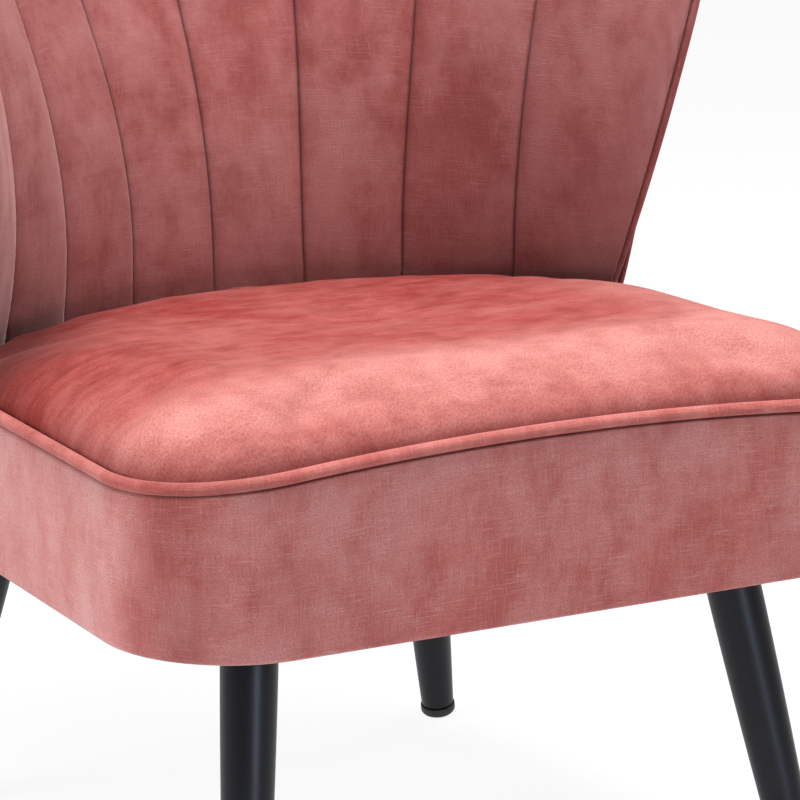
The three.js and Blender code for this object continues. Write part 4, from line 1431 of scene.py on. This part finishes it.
    def seam_and_painted_shade_marks(self, p: Array, rise: Array, beside: Array, calm: Array) -> Array:
        """Dark marks of the inner face: a thin dark line in each seam, painted shade beside it, and
        painted shade in the crease.

        A seam's line and its shadow are exp(-(d / width)^2). The crease falls off as
        exp(-rise / reach), and is stronger on the left.

        Args:
            p: Place across.
            rise: Height above the bend.
            beside: Distance to the nearest seam.
            calm: How far the edge has been left behind, from none to one.

        Returns:
            Marks from none to one.
        """
        line_width, shadow_width, crease_reach = 0.0009, 0.006, 0.010
        line = np.exp(-(beside / line_width) ** 2)
        shadow = np.exp(-(beside / shadow_width) ** 2)
        seam = (0.8 * line + 0.08 * shadow) * np.clip(calm * 1.2, 0, 1)
        amount = 0.45 + 0.4 * ease(-p, 0.4, 0.8)
        crease = amount * np.exp(-np.maximum(rise, 0) / crease_reach)
        return np.clip(np.maximum(seam, crease), 0, 1)

    def painted_light_marks(self, p: Array, rise: Array, edge: Array) -> Array:
        """Painted light of the inner face: along its edge, on the wings, and low on the right.

        The edge's falls off as exp(-d / reach), and the others are eased in and out.

        Args:
            p: Place across.
            rise: Height above the bend.
            edge: Distance to the free edge.

        Returns:
            Marks from none to one.
        """
        amount = 0.25 + 0.15 * ease(p, 0.4, 0.8)
        wing = ease(np.abs(p), 0.6, 1.0) * amount * ease(-rise, -0.30, 0.0)
        low = 0.12 * ease(-rise, -0.16, 0.0) * ease(p, -0.2, 0.5)
        edge_reach = 0.03
        return 0.6 * np.exp(-edge / edge_reach) + wing + low

    def outer_point(self, p: Array, rise: Array, skin: float) -> Array:
        """Point of the outer cover: flush with the seat box below, parallel to the sheet above.

        It is an eased mix of the two, from the foot up, and its edge follows that of the wings.

        Args:
            p: Place across.
            rise: Height above the bend.
            skin: Distance out from the cover's inner face.

        Returns:
            Points, with x, y, z last.
        """
        form = self.form
        z = form.bend + rise
        low = 1 - ease(z, *self.hollow_fade)
        room = self.rim_room * quarter_round(form.edge_distance(p, rise), form.roll)
        hollow = self.outer_hollow * low * (1 - p ** 4)
        shell = form.layer(p, rise, form.pad_depth(p, rise) + self.outer_gap + hollow + room + skin)
        start = float(form.point(1.0, self.foot - form.bend)[1])
        points, out = self.plan.half()
        inset = self.outer_thickness - skin
        points = points - out * inset
        first = np.array([[self.plan.half_at(start, inset), start]])
        path = np.concatenate([first, points[points[:, 1] > start]])[::-1]
        run = lengths(path)
        plan = read_at(np.abs(p) * run[-1], run, path)
        wing = form.point(np.ones_like(p), rise)[..., 1]
        forward = (wing - start) * np.abs(p) ** self.edge_follow
        foot = np.stack([np.sign(p) * plan[..., 0], plan[..., 1] + forward, z], axis=-1)
        share = ease(z, self.foot, self.foot + self.flare)[..., None]
        return foot + (shell - foot) * share

    def outer(self) -> bpy.types.Object:
        """Outer cover: one smooth padded panel from the seat box to the rim.

        Returns:
            The piece.
        """
        p = self.columns(np.linspace(0, 1, 9))[None, :]
        rise = self.rows(p[0], self.foot, self.outer_inset, count=80)
        p, rise = np.broadcast_arrays(p, rise)
        drawn = p * (1 - self.outer_inset / self.half_width)
        cloth = self.cloth(p, rise)
        sway = unevenness(cloth[..., 0], cloth[..., 1], wave=0.2, seed=23)
        sway = self.outer_sway * sway
        edge = 1 - np.exp(-self.form.edge_distance(drawn, rise) / self.outer_calm)
        inner = self.outer_point(drawn, rise, 0.0)
        outer = self.outer_point(drawn, rise, self.outer_thickness)
        outer = outer + self.form.normal(drawn, rise) * (sway * edge)[..., None]
        panel = slab(inner, outer, cloth, belly=0.0012)
        piece = panel.build("back_outer_velvet", sharp=60)
        dress(piece, Finish.BACK_VELVET, ["back_outer_cover"])
        return piece

    def welt(self) -> bpy.types.Object:
        """Welt in the seam of the free edge, from wing to wing over the rim.

        Returns:
            The piece.
        """
        form = self.form
        clearance = 0.0003
        low = self.foot + self.welt_radius + clearance - form.bend
        side = np.linspace(low, form.shoulder - form.bend, 60)
        turn = np.linspace(0, math.pi / 2, 150)[1:]
        over = np.maximum(np.cos(turn), 0) ** (2 / form.rim_power)
        p = np.concatenate([np.ones(len(side)), over])
        rise = np.concatenate([side, form.rim(over)])
        p = np.concatenate([p, -p[-2::-1]])
        rise = np.concatenate([rise, rise[-2::-1]])
        path = form.layer(p, rise, form.pad_depth(p, rise) + self.slot / 2)
        path[len(side) + len(turn) - 1, 0] = 0.0
        run = lengths(path)
        places = np.linspace(0, run[-1], 520)
        square = read_at(places, run, form.normal(p, rise))
        path = read_at(places, run, path)
        cord = tube(path, square, self.welt_radius, sides=14, ring=False)
        piece = cord.build("back_welt_velvet")
        dress(piece, Finish.BACK_VELVET, ["back_welt"])
        return piece


@dataclass
class Cushion:
    """The tight seat: a crown that rolls down to the welt and meets the channels at the rear.

    Its skin is a skirt of rings below the welt's level, then rings that close in to the middle. The
    crown stands crown_front and crown_rear above the level, at the front and at the rear. It rolls
    down over roll and rear_roll there, and falls to rise_rear above the level over crease_width,
    and to rise_side more at the ends of the crease. clear is its clearance to the channels. Before
    the filling swells it, it lies lower by sink, eased in between the two distances of sink_fade
    from the outline; the swelling fades out over held_edge and the sway over sway_reach.
    """

    plan: SeatPlan = field(default_factory=SeatPlan)
    form: BackForm = field(default_factory=BackForm)
    inset: float = 0.0088
    base: float = 0.3600
    level: float = 0.3718
    crown_front: float = 0.059
    crown_rear: float = 0.029
    roll: float = 0.090
    rear_roll: float = 0.040
    rise_rear: float = 0.012
    crease_width: float = 0.120
    rise_side: float = 0.003
    clear: float = 0.0008
    filling: Filling = Filling(cap=0.008)
    sink: float = 0.004
    sink_fade: tuple[float, float] = (0.03, 0.13)
    held_edge: float = 0.025
    sway: float = 0.0007
    sway_reach: float = 0.05
    skirt: int = 4

    @property
    def middle(self) -> Array:
        """Middle of the seat in plan, which the rings close in on."""
        return np.array([0.0, self.form.depth / 2])

    def outline(self) -> tuple[Array, Array]:
        """Closed outline: the band inside the welt, then the foot of the channels.

        Returns:
            Points as x, y, and whether each lies against the back.
        """
        points, out = self.plan.half()
        points = points - out * self.inset
        start = float(self.form.point(1.0, 0.0)[1])
        gap, slack, count = 0.004, 0.0003, 420
        front = points[points[:, 1] < start - gap]
        p = np.linspace(1, 0, 120)
        rise = np.zeros_like(p)
        rear = self.form.layer(p, rise, -self.form.flute_height(p, rise) - self.clear)[:, :2]
        rear[:, 0] = np.minimum(rear[:, 0], self.plan.half_at(rear[:, 1], self.inset) - slack)
        rear[-1, 0] = 0.0
        loop = mirrored(np.concatenate([front, rear]), FLIP)
        marks = mirrored(np.concatenate([np.zeros(len(front)), np.ones(len(rear))]), 1.0)
        run = lengths(loop, True)
        places = np.linspace(0, run[-1], count + 1)[:-1]
        closed = np.column_stack([loop, marks])
        read = read_at(places, run, np.concatenate([closed, closed[:1]]))
        return read[:, :2], read[:, 2] > 0.5

    @staticmethod
    def distance(points: Array, loop: Array, marks: Array, rear: bool) -> Array:
        """Distance from points to the part of the outline against the back, or to the rest of it.

        Args:
            points: Points as x, y.
            loop: Outline points.
            marks: Whether each lies against the back.
            rear: Which part to measure to.

        Returns:
            Distances, in the shape of the points.
        """
        both = marks & np.roll(marks, -1)
        chosen = both if rear else ~both
        start = loop[chosen]
        along = np.roll(loop, -1, axis=0)[chosen] - start
        flat = points.reshape(-1, 1, 2) - start[None]
        share = np.clip(np.sum(flat * along, axis=2) / np.sum(along * along, axis=1), 0, 1)
        away = np.linalg.norm(flat - along[None] * share[..., None], axis=2)
        return away.min(axis=1).reshape(points.shape[:-1])

    def height(self, points: Array, loop: Array, marks: Array, arch: Array) -> Array:
        """Height of the seat: crown less a quarter round at the sides and a slight one at the back.

        Args:
            points: Points as x, y.
            loop: Outline points.
            marks: Whether each lies against the back.
            arch: Rise of the welt at the nearest part of the outline.

        Returns:
            Heights above the floor.
        """
        back = points[..., 1] / self.form.depth
        crown = self.level + self.crown_front + (self.crown_rear - self.crown_front) * back
        width = self.roll + (self.rear_roll - self.roll) * np.clip(back, 0, 1)
        side = quarter_round(self.distance(points, loop, marks, rear=False), width)
        rear = quarter_round(self.distance(points, loop, marks, rear=True), self.crease_width)
        across = points[..., 0] / self.form.half_seat
        drop = self.crown_rear - self.rise_rear - self.rise_side * across ** 2
        return crown - (crown - self.level - arch) * side - drop * rear * (1 - side)

    def surface(
        self, loop: Array, marks: Array, share: Array, sink: float
    ) -> tuple[Array, Array, Array]:
        """Rings of the seat: the outline drawn in to the middle at the seat's height, over a skirt.

        Args:
            loop: Outline points.
            marks: Whether each lies against the back.
            share: How far each ring is drawn in, from none to one.
            sink: How much lower the crown lies than at its full height.

        Returns:
            Points of the skirt and the rings, and distances of the rings' points to the free edge
            and to the back.
        """
        place = loop[None] + (self.middle - loop)[None] * share[:, None, None]
        arch = self.plan.arch_at(loop)[None] * (1 - share[:, None]) ** 2
        z = self.height(place, loop, marks, arch)
        edge = self.distance(place, loop, marks, rear=False)
        rear = self.distance(place, loop, marks, rear=True)
        z = z - sink * ease(np.minimum(edge, rear), *self.sink_fade)
        top = np.concatenate([place, z[..., None]], axis=2)
        steps = np.linspace(0, 1, self.skirt + 1)[:-1, None]
        low = self.base + (z[0] - self.base)[None] * steps
        skirt = np.concatenate([np.broadcast_to(loop, (*low.shape, 2)), low[..., None]], axis=2)
        return np.concatenate([skirt, top]), edge, rear

    def skin(self, grid: Array) -> Skin:
        """Closed skin over the rings.

        The cloth map is drawn out from the middle: each point lies in its direction, as far out as
        the way to it over the surface is long.

        Args:
            grid: Points of the skirt and the rings.

        Returns:
            The skin.
        """
        middle = self.middle
        away = grid[..., :2] - middle
        reach = np.linalg.norm(away, axis=2)
        step = np.linalg.norm(np.diff(grid, axis=0), axis=2)
        way = np.cumsum(step[::-1], axis=0)[::-1]
        run = reach[-1] + np.concatenate([way, np.zeros_like(step[:1])])
        cloth = middle + away * (run / reach)[..., None]
        cloth = np.concatenate([cloth, cloth[:, :1]], axis=1)
        skin = Skin()
        numbers = skin.grid(grid, cloth, ring_columns=True)
        top = float(grid[-1, :, 2].mean())
        skin.fan(numbers[-1], np.array([*middle, top]), grid[-1, :, :2], middle)
        skin.fan(numbers[0], np.array([*middle, self.base]), grid[0, :, :2], middle)
        return skin

    def swelling(self, loop: Array, marks: Array, share: Array) -> Array:
        """How far the filling moves the rings, by a simulation on a coarser seat held at its edge.

        Args:
            loop: Outline points.
            marks: Whether each lies against the back.
            share: How far each ring is drawn in.

        Returns:
            Movement of each ring point, which fades out towards the outline.
        """
        known = np.linspace(0, 1, 30)[:-1] ** 1.2 * share[-1]
        every, before, after = 3, 2, 3
        coarse, edge, rear = self.surface(loop[::every], marks[::every], known, self.sink)
        held = np.zeros(coarse.shape[:2], dtype=bool)
        held[: self.skirt + 1] = True
        moved = self.filling.swell(self.skin(coarse), held)[self.skirt:]
        moved = moved * np.clip(np.minimum(edge, rear) / self.held_edge, 0, 1)[..., None]
        ring = np.concatenate([moved[:, -before:], moved, moved[:, :after]], axis=1)
        places = (np.arange(ring.shape[1], dtype=float) - before) * every
        around = spread(np.moveaxis(ring, 1, 0), places, np.arange(len(loop), dtype=float))
        return spread(np.moveaxis(around, 0, 1), known, share)

    @staticmethod
    def seam_and_painted_shade_marks(x: Array, y: Array, edge: Array, rear: Array) -> Array:
        """Painted shade of the seat: in the crease, wider at its ends and the left, and by the
        welt.

        The crease is a narrow exp(-d / reach) and wide shades exp(-(d / width)^2) from the back,
        and the welt's line is exp(-d / reach) from the free edge.

        Args:
            x: Place across.
            y: Depth.
            edge: Distance to the free edge.
            rear: Distance to the back.

        Returns:
            Marks from none to one.
        """
        crease_reach, ends_width, left_width, line_reach = 0.008, 0.075, 0.095, 0.004
        left = ease(-x, 0.10, 0.25)
        ends = ease(np.abs(x), 0.08, 0.24)
        deep = np.exp(-rear / crease_reach) * (0.5 + 0.3 * left)
        wide = np.exp(-(rear / ends_width) ** 2) * (0.15 + 0.45 * ends)
        side = left * (0.45 * np.exp(-(rear / left_width) ** 2) + 0.13 * ease(y, 0.08, 0.20))
        line = 0.3 * np.exp(-edge / line_reach)
        return np.clip(np.maximum(deep + wide + side, line), 0, 1)

    @staticmethod
    def painted_light_marks(x: Array, y: Array, edge: Array, rear: Array) -> Array:
        """Painted light of the seat: a band along the front and right, and a faint lip by the welt.

        The bands are exp(-(d / width)^2) round a line along the front and one along the right.

        Args:
            x: Place across.
            y: Depth.
            edge: Distance to the free edge.
            rear: Distance to the back.

        Returns:
            Marks from none to one.
        """
        front_line, front_width, right_line, right_width = 0.064, 0.045, 0.235, 0.06
        clear_edge = 0.022
        front = np.exp(-((y - front_line) / front_width) ** 2)
        right = np.exp(-((right_line - x) / right_width) ** 2) * ease(-y, -0.40, -0.2)
        bands = np.clip(front + right, 0, 1) * np.clip(edge / clear_edge, 0, 1)
        bands = bands * ease(x, -0.42, -0.22)
        lip = (1 - ease(edge, 0.0, 0.035)) * (1 - ease(-x, 0.10, 0.25) * ease(y, 0.10, 0.24))
        return np.clip(0.92 * bands + 0.38 * lip + 0.06 * ease(rear, 0.05, 0.30), 0, 1)

    def build(self) -> bpy.types.Object:
        """Builds the seat and marks its velvet with painted shade and painted light; the skirt gets
        painted shade of one half and no painted light.

        Returns:
            The piece.
        """
        loop, marks = self.outline()
        share = np.linspace(0, 1, 62)[:-1] ** 1.45
        grid, edge, rear = self.surface(loop, marks, share, self.sink)
        rings = grid[self.skirt:]
        rings += self.swelling(loop, marks, share)
        x, y = rings[..., 0], rings[..., 1]
        sway = self.sway * unevenness(x, y, wave=0.17, seed=31)
        rings[..., 2] += sway * np.clip(edge / self.sway_reach, 0, 1)
        piece = self.skin(grid).build("seat_cushion_velvet", sharp=50)
        # Painted shade and painted light of the seat, over a skirt with half painted shade and no
        # painted light.
        for name, below, rule in (("seam", 0.5, self.seam_and_painted_shade_marks), ("painted_light", 0.0, self.painted_light_marks)):
            skirt = np.full((self.skirt, len(loop)), below)
            mark(piece, name, np.concatenate([skirt, rule(x, y, edge, rear)]))
        nodes = ["seat_top_cover", "seat_foam"]
        dress(piece, Finish.SEAT_VELVET, nodes)
        return piece


# Legs


@dataclass
class Leg:
    """A splayed leg: tapered tube and push-in glide.

    top and foot are where its axis meets the seat box's underside and the floor, in plan.
    """

    label: str
    top: tuple[float, float]
    foot: tuple[float, float]
    top_radius: float = 0.020
    foot_radius: float = 0.013
    bow: float = 0.0012
    wall: float = 0.0015
    glide_radius: float = 0.014
    dome: float = 0.006
    collar: float = 0.005
    spigot: float = 0.014
    flat: float = 0.001
    seat_box: float = 0.257
    level: float = 0.2571
    fit: float = 0.0003

    def axis(self) -> tuple[Array, Array, float]:
        """The leg's axis, from the middle of the glide's dome.

        Returns:
            Middle of the dome, direction up the leg, and length to the top.
        """
        upper = np.array([*self.top, self.seat_box])
        lower = np.array([*self.foot, 0.0])
        up = (upper - lower) / np.linalg.norm(upper - lower)
        drop = math.hypot(self.glide_radius * math.hypot(up[0], up[1]), self.dome * up[2])
        middle = lower + up * (drop - self.flat) / up[2]
        return middle, up, float(np.linalg.norm(upper - middle))

    @staticmethod
    def square(up: Array) -> tuple[Array, Array]:
        """Two directions square to the leg and to each other.

        Args:
            up: Direction up the leg.

        Returns:
            The two directions.
        """
        first = np.cross(up, np.array([0.0, 1.0, 0.0]))
        first /= np.linalg.norm(first)
        return first, np.cross(up, first)

    def turned(self, heights: Array, radii: Array, sides: int = 72) -> Array:
        """Surface of revolution about the leg's axis.

        Args:
            heights: Heights of the rings along the axis.
            radii: Radius of each ring.
            sides: Points round a ring.

        Returns:
            Grid of points, rings by sides by three.
        """
        middle, up, _ = self.axis()
        first, second = self.square(up)
        turn = np.linspace(0, math.tau, sides, endpoint=False)
        around = np.cos(turn)[:, None] * first + np.sin(turn)[:, None] * second
        return middle + heights[:, None, None] * up + radii[:, None, None] * around[None]

    def tube_piece(self) -> bpy.types.Object:
        """Tube: a slightly bowed cone, cut level under the mounting plate, with a rolled lower lip.

        It bows out by 4 b s (1 - s) at a share s of its height, and is made a spare length too long
        before it is cut.

        Returns:
            The piece.
        """
        _, up, length = self.axis()
        start = self.collar + self.fit
        taper = (self.top_radius - self.foot_radius) / (length - start)
        lip, rolled = np.array([0.0, 0.0002, 0.0006, 0.0012]), np.array([0.0006, 0.00035, 0.0001])
        spare = 0.02
        run = np.concatenate([lip, np.linspace(0.004, 1, 26) * (length + spare - start)])
        along = np.clip(run / (length - start), 0, 1)
        radii = self.foot_radius + taper * run + 4 * self.bow * along * (1 - along)
        radii[: len(rolled)] -= rolled
        outer = self.turned(start + run, radii)
        inner = self.turned(start + run[::-1], radii[::-1] - self.wall)
        for grid in (outer, inner):
            over = np.maximum(grid[..., 2] - self.level, 0) / up[2]
            grid -= over[..., None] * up
        grid = np.concatenate([outer, inner])
        turn = np.linspace(0, math.tau * self.foot_radius, grid.shape[1] + 1)
        rim = 0.002
        profile = np.concatenate([run, run[-1] + rim + run, [2 * run[-1] + 2 * rim]])
        skin = Skin()
        skin.grid(grid, cloth_map(turn, profile), ring_rows=True, ring_columns=True)
        piece = skin.build(f"leg_tube_{self.label}_coated", sharp=35)
        dress(piece, Finish.POWDER_COAT, [f"leg_tube_{self.label}"])
        return piece

    def glide_piece(self) -> bpy.types.Object:
        """Glide: spigot, collar with a small round, and a dome with a flat on the floor.

        Returns:
            The piece.
        """
        quarter = np.linspace(0, math.pi / 2, 12)
        bore = self.foot_radius - self.wall - self.fit
        heights = np.concatenate([
            -self.dome * np.cos(quarter)[1:], self.collar - np.array([0.0008, 0.0002, 0.0]),
            self.collar + np.array([0.0, self.spigot - 0.001, self.spigot]),
        ])
        radii = np.concatenate([
            self.glide_radius * np.sin(quarter)[1:],
            self.glide_radius - np.array([0.0, 0.0003, 0.0009]), bore - np.array([0.0, 0.0, 0.001]),
        ])
        sides = 48
        grid = self.turned(heights, radii, sides)
        grid[..., 2] = np.maximum(grid[..., 2], 0.0)
        middle, up, _ = self.axis()
        skin = Skin()
        girth = np.linspace(0, 0.08, sides + 1)
        numbers = skin.grid(grid, cloth_map(girth, heights), ring_columns=True)
        low = middle - up * self.dome
        low[2] = 0.0
        blank = np.zeros((sides, 2))
        skin.fan(numbers[0], low, blank, blank[0])
        skin.fan(numbers[-1], middle + up * (self.collar + self.spigot), blank, blank[0])
        piece = skin.build(f"leg_glide_{self.label}_moulded", sharp=35)
        dress(piece, Finish.PLASTIC, [f"leg_glide_{self.label}"])
        return piece


@dataclass
class Frame:
    """The frame's CAD nodes that stay, each with its finish by the start of its name."""

    finishes: tuple[tuple[str, Finish], ...] = (
        ("rail_bolt", Finish.ZINC), ("upright_bolt", Finish.ZINC), ("back_bracket", Finish.ZINC),
        ("rail", Finish.SOFTWOOD), ("corner_block", Finish.SOFTWOOD),
        ("back_upright", Finish.SOFTWOOD), ("back_board", Finish.BOARD), ("strap", Finish.STRAP),
        ("dust_cloth", Finish.LINING), ("leg_plate", Finish.POWDER_COAT),
    )

    def dress(self) -> None:
        """Gives each kept node its finish."""
        for name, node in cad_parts.items():
            finish = next((kind for start, kind in self.finishes if name.startswith(start)), None)
            if finish is not None:
                node.data.materials.clear()
                node.data.materials.append(finish.material())
                log.info("%s: %s", name, finish.value.name)


# The studio


@dataclass(frozen=True)
class Lamp:
    """A soft rectangular lamp, which may light matt surfaces, show as a highlight, or both."""

    name: str
    place: Place
    size: tuple[float, float]
    power: float
    aim: Place = (0.0, 0.0, 0.42)
    colour: Colour = (1.0, 1.0, 1.0)
    lights: bool = True
    shines: bool = True

    def build(self) -> None:
        """Adds the lamp to the scene."""
        data = bpy.data.lights.new(self.name, "AREA")
        data.shape = "RECTANGLE"
        data.size, data.size_y = self.size
        data.energy = self.power
        data.color = self.colour
        lamp = bpy.data.objects.new(self.name, data)
        lamp.location = self.place
        lamp.rotation_mode = "QUATERNION"
        lamp.rotation_quaternion = (Vector(self.aim) - Vector(self.place)).to_track_quat("-Z", "Y")
        lamp.visible_diffuse, lamp.visible_glossy = self.lights, self.shines
        bpy.context.scene.collection.objects.link(lamp)


@dataclass
class Studio:
    """Pale floor, soft lamps and the camera at the photograph's angle.

    The camera's place counts depth from the front of the seat box, and its focal length is in
    pixels of a square image. The floor is floor_grey for the light, and the camera sees a share
    glow_share of it as a glow of strength floor_glow. sky is the strength of the light all round.
    """

    azimuth: float = -29.352
    elevation: float = 13.643
    focal_pixels: float = 4240.0
    image: int = 800
    place: Place = (-1.438, -2.340, 1.076)
    sky: float = 0.24
    floor_grey: float = 0.86
    floor_glow: float = 1.12
    glow_share: float = 0.8
    lamps: tuple[Lamp, ...] = (
        Lamp("over", (0.1, -0.55, 2.5), (1.5, 1.5), 86.0, (0.0, -0.1, 0.42)),
        Lamp("left", (-2.6, 0.1, 0.9), (1.2, 1.6), 46.0, shines=False),
        Lamp("right", (2.4, 0.9, 1.2), (1.0, 1.6), 7.0),
        Lamp(
            "glint", (0.1, -3.2, 1.0), (0.35, 1.2), 44.0, (-0.2, -0.2, 0.1), (0.68, 0.76, 1.0),
            lights=False,
        ),
    )

    def camera(self) -> None:
        """Makes the camera."""
        data = bpy.data.cameras.new("camera")
        data.sensor_width = 36.0
        data.lens = self.focal_pixels / self.image * data.sensor_width
        data.clip_start, data.clip_end = 0.05, 60.0
        camera = bpy.data.objects.new("camera", data)
        camera.location = Vector(self.place) + Vector((0.0, SEAT_FRONT, 0.0))
        tilt = math.pi / 2 - math.radians(self.elevation)
        camera.rotation_euler = (tilt, 0.0, math.radians(self.azimuth))
        bpy.context.scene.collection.objects.link(camera)
        bpy.context.scene.camera = camera

    def floor(self) -> None:
        """Adds a pale floor that the camera sees as nearly white, with the chair's soft shadow."""
        mesh = bpy.data.meshes.new("floor")
        reach, level = 30.0, -0.0002
        ends = [(-reach, -reach), (reach, -reach), (reach, reach), (-reach, reach)]
        mesh.from_pydata([(*end, level) for end in ends], [], [(0, 1, 2, 3)])
        floor = bpy.data.objects.new("floor", mesh)
        bpy.context.scene.collection.objects.link(floor)
        g = Graph(bpy.data.materials.new("floor"))
        rays = g.node("ShaderNodeLightPath", {}, {}).outputs
        kinds = ("Is Camera Ray", "Is Glossy Ray", "Is Transmission Ray")
        camera, glossy, through = (Value(g, rays[kind]) for kind in kinds)
        seen = (camera + glossy + through).clamp() * self.glow_share
        grey, white = (*[self.floor_grey] * 3, 1.0), (1.0, 1.0, 1.0, 1.0)
        matt = g.node("ShaderNodeBsdfDiffuse", {}, {"Color": grey})
        glow = g.node("ShaderNodeEmission", {}, {"Color": white, "Strength": self.floor_glow})
        mixed = g.node("ShaderNodeMixShader", {}, {0: seen, 1: matt.outputs[0], 2: glow.outputs[0]})
        g.node("ShaderNodeOutputMaterial", {}, {0: mixed.outputs[0]})
        mesh.materials.append(g.owner)

    def world(self) -> None:
        """Even grey light all round, which the camera sees as white."""
        world = bpy.data.worlds.new("studio")
        bpy.context.scene.world = world
        g = Graph(world)
        rays = g.node("ShaderNodeLightPath", {}, {})
        white = (1.0, 1.0, 1.0, 1.0)
        kind = "ShaderNodeBackground"
        soft, seen = (g.node(kind, {}, {0: white, 1: power}) for power in (self.sky, 1.0))
        inputs = {0: rays.outputs["Is Camera Ray"], 1: soft.outputs[0], 2: seen.outputs[0]}
        mixed = g.node("ShaderNodeMixShader", {}, inputs)
        g.node("ShaderNodeOutputWorld", {}, {0: mixed.outputs[0]})

    def build(self) -> None:
        """Sets up the whole studio."""
        self.camera()
        self.floor()
        self.world()
        for lamp in self.lamps:
            lamp.build()
        bpy.context.scene.view_settings.view_transform = "Standard"


def main() -> None:
    """Builds the chair piece by piece, then the studio."""
    logging.basicConfig(level=logging.INFO, format="%(message)s")
    box = SeatBox()
    box.band()
    box.welt()
    Cushion().build()
    back = ShellBack()
    back.inner()
    back.outer()
    back.welt()
    stations = (("front", (0.191, 0.083), (0.228, 0.023)), ("rear", (0.176, 0.510), (0.226, 0.554)))
    for row, top, foot in stations:
        for hand, sign in (("left", -1), ("right", 1)):
            leg = Leg(f"{row}_{hand}", (sign * top[0], top[1]), (sign * foot[0], foot[1]))
            leg.tube_piece()
            leg.glide_piece()
    Frame().dress()
    Studio().build()


if __name__ == "__main__":
    main()
